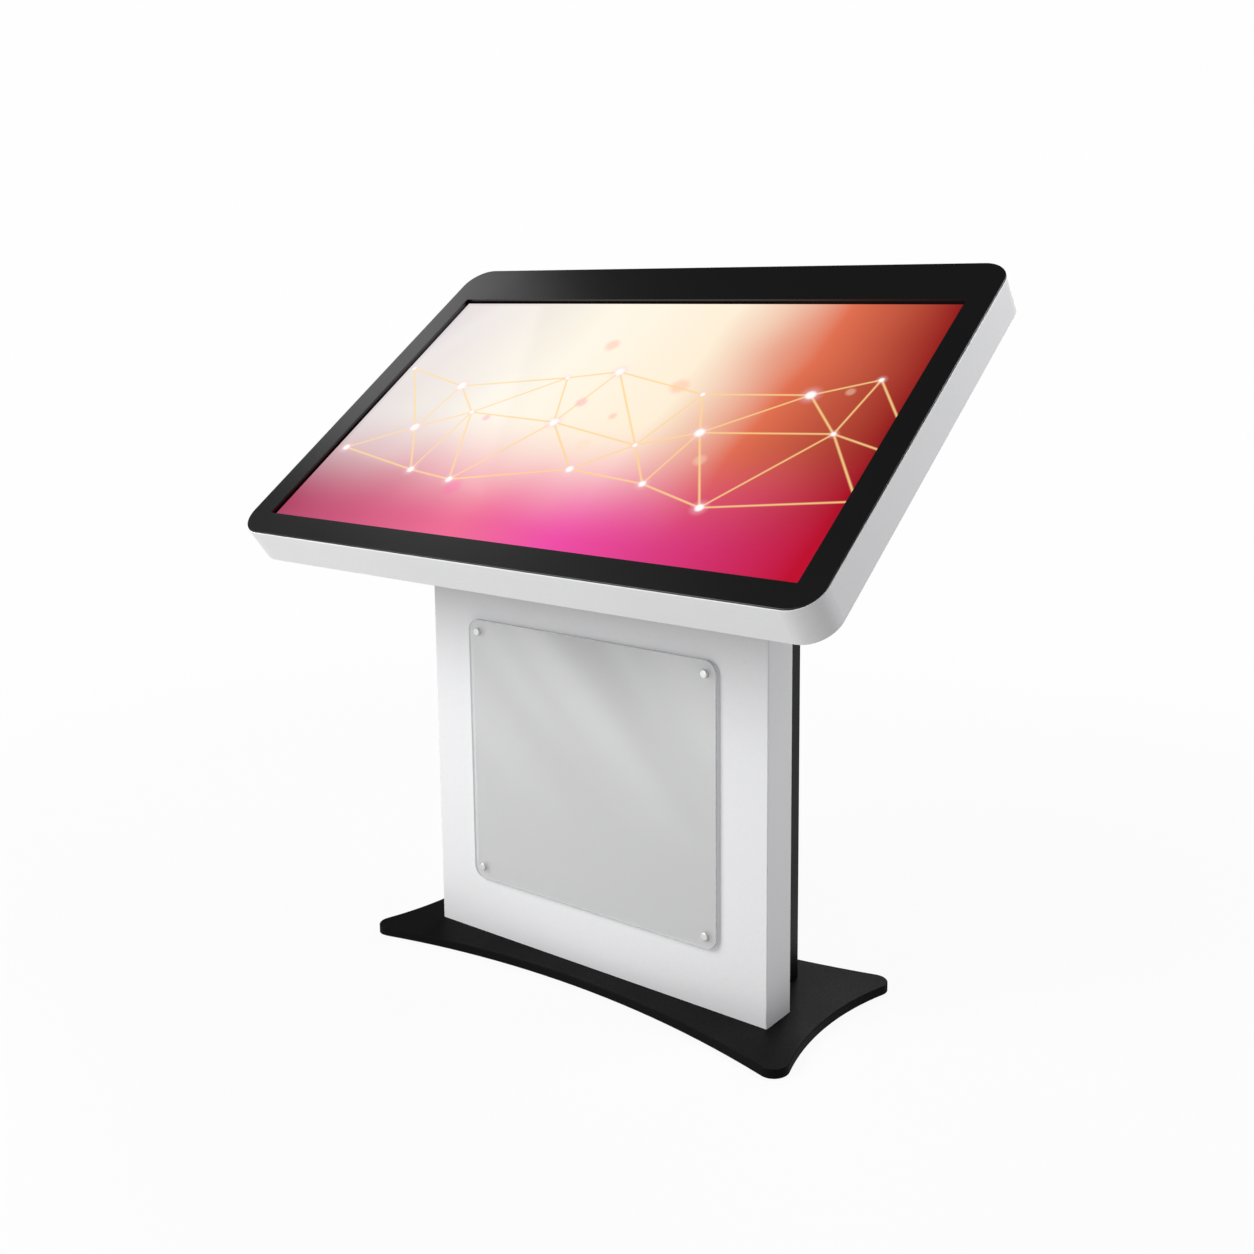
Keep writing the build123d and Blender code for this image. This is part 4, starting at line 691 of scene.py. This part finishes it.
class KIOSK_OT_poster(bpy.types.Operator):
    """Makes the acrylic poster sheet with its polished edge, and dresses its two surfaces"""

    bl_idname = "kiosk.poster"
    bl_label = "Make the poster sheet"

    def execute(self, context):
        mesh = self.sheet_mesh(context)
        sheet = bpy.data.objects.new("poster_sheet", mesh)
        context.scene.collection.objects.link(sheet)
        mesh.materials.clear()
        mesh.materials.append(self.face_material(context))
        mesh.materials.append(self.edge_material())
        # The two flat faces take the tinted acrylic, and the chamfers and edges the polished one.
        for polygon in mesh.polygons:
            polygon.material_index = 0 if abs(polygon.normal.y) > 0.95 else 1
        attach(sheet, "kiosk")
        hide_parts("poster_panel")
        return {"FINISHED"}

    def rings(self, settings, half):
        """The sheet's outline and its four bolt holes, drawn inside the chamfer."""
        inset = settings.chamfer
        low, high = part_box("poster_bolts")
        bolt_x = (high.x - low.x) / 2 - settings.cap
        bolt_z = (high.z - low.z) / 2 - settings.cap
        rings = [rounded_outline(half.x - inset, half.z - inset, settings.corner - inset)]
        for i in (-1, 1):
            for j in (-1, 1):
                rings.append(circle(i * bolt_x, j * bolt_z, settings.hole + inset))
        return rings

    def sheet_mesh(self, context):
        """The sheet as a filled and chamfered curve, stood up in the CAD sheet's place."""
        settings = context.scene.kiosk_poster
        low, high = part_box("poster_panel")
        half = (high - low) / 2
        curve = bpy.data.curves.new("poster_sheet", "CURVE")
        curve.dimensions = "2D"
        curve.fill_mode = "BOTH"
        curve.extrude = half.y - settings.chamfer
        curve.bevel_depth = settings.chamfer
        curve.bevel_resolution = 1
        for ring in self.rings(settings, half):
            spline = curve.splines.new("POLY")
            spline.points.add(len(ring) - 1)
            spline.use_cyclic_u = True
            for point, (x, z) in zip(spline.points, ring):
                point.co = (x, z, 0, 1)
        maker = bpy.data.objects.new("poster_sheet_curve", curve)
        context.scene.collection.objects.link(maker)
        context.view_layer.update()
        mesh = bpy.data.meshes.new_from_object(maker)
        bpy.data.objects.remove(maker)
        upright = Matrix.Rotation(radians(90), 4, "X")
        mesh.transform(Matrix.Translation((low + high) / 2) @ upright)
        return mesh

    def face_material(self, context):
        """Cast acrylic with a light grey tint: clean gloss, and slanting pale bands that are a painted
        reflection of the studio.
        """
        tint = context.scene.kiosk_finish.poster_grey
        material, tree, shader, place = start_material("cast_acrylic_tinted")
        # Slanting bands of painted reflection across the sheet.
        slant = add_node(
            tree,
            "Mapping",
            {"Vector": place, "Rotation": (0, radians(46), 0), "Scale": (0.9, 1.0, 0.13)},
            vector_type="TEXTURE",
        ).outputs[0]
        reflection_noise = add_node(tree, "TexNoise", {"Vector": slant, "Scale": 1.0, "Detail": 1.0}).outputs[0]
        part = add_node(tree, "SeparateXYZ", {0: place}).outputs
        low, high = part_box("poster_panel")
        # The painted reflection starts 120 mm above the lower edge and is full 20 mm below the upper
        # one.
        rise = add_node(
            tree,
            "MapRange",
            {"Value": part["Z"], "From Min": low.z + 0.12, "From Max": high.z - 0.02},
        ).outputs[0]
        band = add_node(
            tree,
            "MapRange",
            {"Value": reflection_noise, "From Min": 0.36, "From Max": 0.66},
            interpolation_type="SMOOTHSTEP",
        ).outputs[0]
        painted_reflection = add_node(tree, "Math", {0: band, 1: rise}, operation="MULTIPLY").outputs[0]
        # The paler tint is the colour of the painted reflection bands.
        pale = [min(c * 1.22, 1.0) for c in tint]
        ramp = add_node(tree, "ValToRGB", {"Fac": painted_reflection}, stops=[(0.0, tint), (1.0, pale)])
        tree.links.new(ramp.outputs[0], shader.inputs["Base Color"])
        # The tint covers a little under half of the white column behind it.
        shader.inputs["Alpha"].default_value = 0.46
        shader.inputs["Roughness"].default_value = 0.16
        shader.inputs["IOR"].default_value = 1.49
        return material

    def edge_material(self):
        """Flame-polished acrylic edge: it gathers the sheet's light, so it reads pale and bright."""
        return grained(
            "flame_polished_acrylic_edge", "#F2F3F4", "#DDDFE1", 8.0, (0.08, 0.16), 0.0, IOR=1.49
        )


# ---------------------------------------------------------------- metal, plastic and inner pieces
class KIOSK_OT_metalwork(bpy.types.Operator):
    """Finishes the plated frame, the fasteners, the hinges and the lock"""

    bl_idname = "kiosk.metalwork"
    bl_label = "Finish the metalwork"

    def execute(self, context):
        # Blue-passivated zinc on mild steel: pale grey, with a cool mottle about 6 mm across.
        zinc = grained(
            "zinc_plated_passivated",
            "#C3C6C9",
            "#A2A6AB",
            6.0,
            (0.32, 0.48),
            0.02,
            Metallic=1.0,
        )
        dress(
            zinc,
            "base_bolts",
            "column_feet",
            "column_posts",
            "rail_bars",
            "cradle_plate",
            "cradle_bolts",
            "pan_screws",
            "inner_frame",
            "display_chassis",
            "panel_rails",
            "equipment_plate",
            "lock_nut",
            "lock_cam",
        )
        # Turned and polished stainless steel: bright, with fine marks round its axis.
        polished = grained(
            "polished_stainless_steel",
            "#D6D7D8",
            "#C2C4C6",
            1.2,
            (0.12, 0.22),
            0.004,
            (1, 4, 1),
            Metallic=1.0,
        )
        dress(
            polished,
            "hinge_frame_leaves",
            "hinge_door_leaves",
            "hinge_pins",
            "lock_barrel",
            "lock_plug",
        )
        # Cap nuts blasted and nickel-plated: almost white, and matt enough to take light from anywhere.
        nickel = grained(
            "satin_nickel_plated", "#F6F6F5", "#E9E9E8", 1.5, (0.5, 0.62), 0.004, Metallic=1.0
        )
        dress(nickel, "poster_bolts")
        # Brushed and clear-anodised aluminium: long fine lines, soft sheen. Lines drawn 1.5 mm apart.
        brushed = grained(
            "brushed_anodised_aluminium",
            "#CFD0D2",
            "#B4B6B9",
            1.5,
            (0.3, 0.42),
            0.01,
            (40, 1, 1),
            Metallic=1.0,
        )
        dress(
            brushed,
            "poster_spacers",
            "display_front_frame",
            "led_bars",
            "computer_case",
            "computer_lid",
            "power_supply_case",
        )
        # Stamped brass blades: warm, slightly dulled.
        brass = grained(
            "stamped_brass", "#D9B265", "#B98F45", 2.5, (0.28, 0.4), 0.01, Metallic=1.0
        )
        dress(brass, "board_standoffs", "inlet_pins")
        return {"FINISHED"}


class KIOSK_OT_plastics(bpy.types.Operator):
    """Finishes the moulded, foam and rubber pieces"""

    bl_idname = "kiosk.plastics"
    bl_label = "Finish the plastics"

    def execute(self, context):
        # Injection-moulded ABS with a spark-eroded grain, really 0.2 mm and drawn at 1 mm.
        abs_black = grained(
            "moulded_abs_black", "#232324", "#161617", 1.0, (0.42, 0.56), 0.03
        )
        dress(
            abs_black,
            "speaker_boxes",
            "computer_button",
            "terminal_block",
            "fan_frames",
            "fan_rotor_left",
            "fan_rotor_right",
            "inlet_housing",
            "power_rocker",
        )
        # Closed-cell foam tape: matt, with cells about 0.8 mm, drawn at 1.5 mm.
        foam = grained("closed_cell_foam", "#262626", "#0E0E0E", 1.5, (0.85, 0.95), 0.25)
        dress(foam, "display_gasket")
        # Pressed paper pulp: charcoal, fibrous.
        pulp = grained("pressed_paper_pulp", "#3A3937", "#1F1E1D", 1.4, (0.8, 0.95), 0.12)
        dress(pulp, "speaker_cones")
        # Extruded PVC sheath: soft gloss, faint waviness along the cable.
        sheath = grained("extruded_pvc_sheath", "#26272A", "#1A1B1D", 5.0, (0.36, 0.5), 0.05)
        dress(sheath, "signal_cables", "display_power_lead", "mains_lead")
        # Extruded acrylic with printed dots, and opal film over it: milky white.
        opal = grained("opal_diffuser", "#F4F5F6", "#E6E8EA", 2.0, (0.3, 0.45), 0.0)
        dress(opal, "diffuser_sheets", "light_guide")
        return {"FINISHED"}


class KIOSK_OT_boards(bpy.types.Operator):
    """Finishes the circuit boards"""

    bl_idname = "kiosk.boards"
    bl_label = "Finish the boards"

    def execute(self, context):
        # Solder mask over copper: deep green with lighter tracks, which run square to the board.
        # The fields between the tracks are about 12 by 4 mm, coarser than real ones so that they show.
        material, tree, shader, place = start_material("solder_masked_board")
        track = add_node(
            tree,
            "TexBrick",
            {
                "Vector": place,
                "Scale": 60.0,
                "Color1": rgba("#12442C"),
                "Color2": rgba("#0D3722"),
                "Mortar": rgba("#2B7A4E"),
                "Mortar Size": 0.05,
                "Brick Width": 0.7,
                "Row Height": 0.22,
            },
        )
        tree.links.new(track.outputs["Color"], shader.inputs["Base Color"])
        speck = add_node(tree, "TexNoise", {"Vector": place, "Scale": 500.0, "Detail": 2.0})
        gloss = add_node(
            tree, "MapRange", {"Value": speck.outputs[0], "To Min": 0.22, "To Max": 0.4}
        )
        tree.links.new(gloss.outputs[0], shader.inputs["Roughness"])
        bump = add_node(
            tree, "Bump", {"Height": track.outputs["Fac"], "Distance": 0.0001, "Strength": 0.6}
        )
        tree.links.new(bump.outputs[0], shader.inputs["Normal"])
        dress(
            material,
            "touch_sensor_boards",
            "scaler_board",
            "touch_board",
            "computer_board",
            "power_supply_board",
        )
        return {"FINISHED"}


# ---------------------------------------------------------------- studio
# Where the camera stands, in metres; how far it looks down and how far it is turned, in degrees.
CAMERA_PLACE = (1.3086, -1.5974, 1.0141)
CAMERA_DOWN = 8.44
CAMERA_TURN = 34.93
# The frame's shift across and up, in shares of its width.
CAMERA_SHIFT = (-0.0774, -0.0941)
# The floor takes shadows within the first radius and is plain white past the second, in metres.
FLOOR_FADE = (0.6, 2.6)


class KIOSK_OT_stage(bpy.types.Operator):
    """Sets the floor, the lights and the camera"""

    bl_idname = "kiosk.stage"
    bl_label = "Set the studio"

    def execute(self, context):
        settings = context.scene.kiosk_stage
        scene = context.scene
        scene.view_settings.view_transform = "Standard"
        self.make_air(scene)
        self.make_floor(scene, settings.floor_radius)
        self.make_lamps(scene, settings)
        self.make_camera(scene, settings.lens)
        return {"FINISHED"}

    def make_lamps(self, scene, settings):
        """Square soft lamps, which the camera doesn't see."""
        # name, power in watts, side, place and aim in metres
        lamps = [
            ("key_light", settings.key_power, 2.0, (-1.7, -2.4, 2.3), (0.0, 0.0, 0.6)),
            ("low_front", 19.0, 1.6, (-0.9, -3.0, 0.75), (0.0, 0.0, 0.6)),
            ("back_fill", settings.fill_power, 2.2, (-0.8, 3.4, 1.6), (0.0, 0.1, 0.5)),
            ("left_panel", 1.5, 0.6, (-1.25, 0.25, 1.55), (-0.5, 0.1, 0.95)),
            ("right_panel", 29.0, 0.8, (1.4, 0.8, 2.3), (0.5, 0.1, 0.9)),
        ]
        for name, power, size, place, aim in lamps:
            lamp = bpy.data.lights.new(name, "AREA")
            lamp.energy = power
            lamp.shape = "SQUARE"
            lamp.size = size
            holder = bpy.data.objects.new(name, lamp)
            holder.location = place
            holder.visible_camera = False
            holder.rotation_euler = (Vector(aim) - Vector(place)).to_track_quat("-Z", "Y").to_euler()
            scene.collection.objects.link(holder)

    def make_camera(self, scene, lens):
        """The camera at the front right, a little above the screen's middle."""
        camera = bpy.data.cameras.new("studio_camera")
        camera.sensor_width = 36.0
        camera.lens = lens
        camera.shift_x, camera.shift_y = CAMERA_SHIFT
        holder = bpy.data.objects.new("studio_camera", camera)
        holder.location = CAMERA_PLACE
        holder.rotation_euler = (radians(90 - CAMERA_DOWN), 0.0, radians(CAMERA_TURN))
        scene.collection.objects.link(holder)
        scene.camera = holder

    def make_air(self, scene):
        """Studio air: white behind the kiosk, and a dome that is bright low down and dim overhead."""
        world = bpy.data.worlds.new("studio_air")
        world.use_nodes = True
        tree = world.node_tree
        tree.nodes.clear()
        way = add_node(tree, "TexCoord").outputs["Generated"]
        height = add_node(tree, "SeparateXYZ", {0: way}).outputs["Z"]
        dome = add_node(
            tree,
            "ValToRGB",
            {"Fac": height},
            stops=[(0.0, "#88898B"), (0.3, "#76777A"), (0.62, "#404143"), (1.0, "#28282A")],
        )
        lit = add_node(tree, "Background", {"Color": dome.outputs[0], "Strength": 1.0})
        plain = add_node(tree, "Background", {"Color": rgba("#FEFEFE"), "Strength": 1.0})
        seen = add_node(tree, "LightPath").outputs["Is Camera Ray"]
        mixed = add_node(
            tree, "MixShader", {"Fac": seen, 1: lit.outputs[0], 2: plain.outputs[0]}
        )
        add_node(tree, "OutputWorld", {"Surface": mixed.outputs[0]})
        scene.world = world

    def make_floor(self, scene, radius):
        """A round floor that takes a soft shadow near the kiosk and fades into plain white."""
        mesh = bpy.data.meshes.new("studio_floor")
        shape = bmesh.new()
        bmesh.ops.create_circle(shape, cap_ends=True, segments=96, radius=radius)
        shape.to_mesh(mesh)
        shape.free()
        floor = bpy.data.objects.new("studio_floor", mesh)
        scene.collection.objects.link(floor)
        material, tree, shader, place = start_material("studio_floor_paint")
        reach = add_node(tree, "VectorMath", {0: place}, operation="LENGTH").outputs["Value"]
        near, far = FLOOR_FADE
        fade = add_node(
            tree,
            "MapRange",
            {"Value": reach, "From Min": near, "From Max": far},
            interpolation_type="SMOOTHSTEP",
        ).outputs[0]
        shader.inputs["Base Color"].default_value = rgba("#F4F4F4")
        shader.inputs["Roughness"].default_value = 0.9
        shader.inputs["Specular IOR Level"].default_value = 0.1
        white = add_node(tree, "Emission", {"Color": rgba("#FEFEFE"), "Strength": 1.0})
        # Mostly its own light even near the kiosk, so the shadow on it stays faint.
        share = add_node(tree, "MapRange", {"Value": fade, "To Min": 0.93, "To Max": 1.0})
        mixed = add_node(
            tree, "MixShader", {"Fac": share.outputs[0], 1: shader.outputs[0], 2: white.outputs[0]}
        )
        # The floor lights the kiosk at a little over half that, so its undersides keep their shade.
        bounce = add_node(tree, "Emission", {"Color": rgba("#FDFDFD"), "Strength": 0.58})
        seen = add_node(tree, "LightPath").outputs["Is Camera Ray"]
        floor_light = add_node(
            tree, "MixShader", {"Fac": seen, 1: bounce.outputs[0], 2: mixed.outputs[0]}
        )
        tree.links.new(floor_light.outputs[0], tree.nodes["Material Output"].inputs["Surface"])
        mesh.materials.append(material)


STEPS = (
    KIOSK_OT_shells,
    KIOSK_OT_base,
    KIOSK_OT_bezel,
    KIOSK_OT_screen,
    KIOSK_OT_poster,
    KIOSK_OT_metalwork,
    KIOSK_OT_plastics,
    KIOSK_OT_boards,
    KIOSK_OT_stage,
)


class KIOSK_PT_panel(bpy.types.Panel):
    """Kiosk settings and steps"""

    bl_idname = "KIOSK_PT_panel"
    bl_label = "Touchscreen kiosk"
    bl_space_type = "VIEW_3D"
    bl_region_type = "UI"
    bl_category = "Kiosk"

    def draw(self, context):
        scene = context.scene
        for group in (scene.kiosk_finish, scene.kiosk_screen, scene.kiosk_poster, scene.kiosk_stage):
            box = self.layout.box()
            for name in group.__annotations__:
                box.prop(group, name)
        for step in STEPS:
            self.layout.operator(step.bl_idname)


SETTINGS = {
    "kiosk_finish": KioskFinishSettings,
    "kiosk_screen": KioskScreenSettings,
    "kiosk_poster": KioskPosterSettings,
    "kiosk_stage": KioskStageSettings,
}
CLASSES = (*SETTINGS.values(), *STEPS, KIOSK_PT_panel)


def register():
    for cls in CLASSES:
        bpy.utils.register_class(cls)
    for name, group in SETTINGS.items():
        setattr(bpy.types.Scene, name, bpy.props.PointerProperty(type=group))


def unregister():
    for name in SETTINGS:
        delattr(bpy.types.Scene, name)
    for cls in reversed(CLASSES):
        bpy.utils.unregister_class(cls)


def main():
    register()
    bpy.ops.kiosk.shells()
    bpy.ops.kiosk.base()
    bpy.ops.kiosk.bezel()
    bpy.ops.kiosk.screen()
    bpy.ops.kiosk.poster()
    bpy.ops.kiosk.metalwork()
    bpy.ops.kiosk.plastics()
    bpy.ops.kiosk.boards()
    bpy.ops.kiosk.stage()


if __name__ == "__main__":
    main()
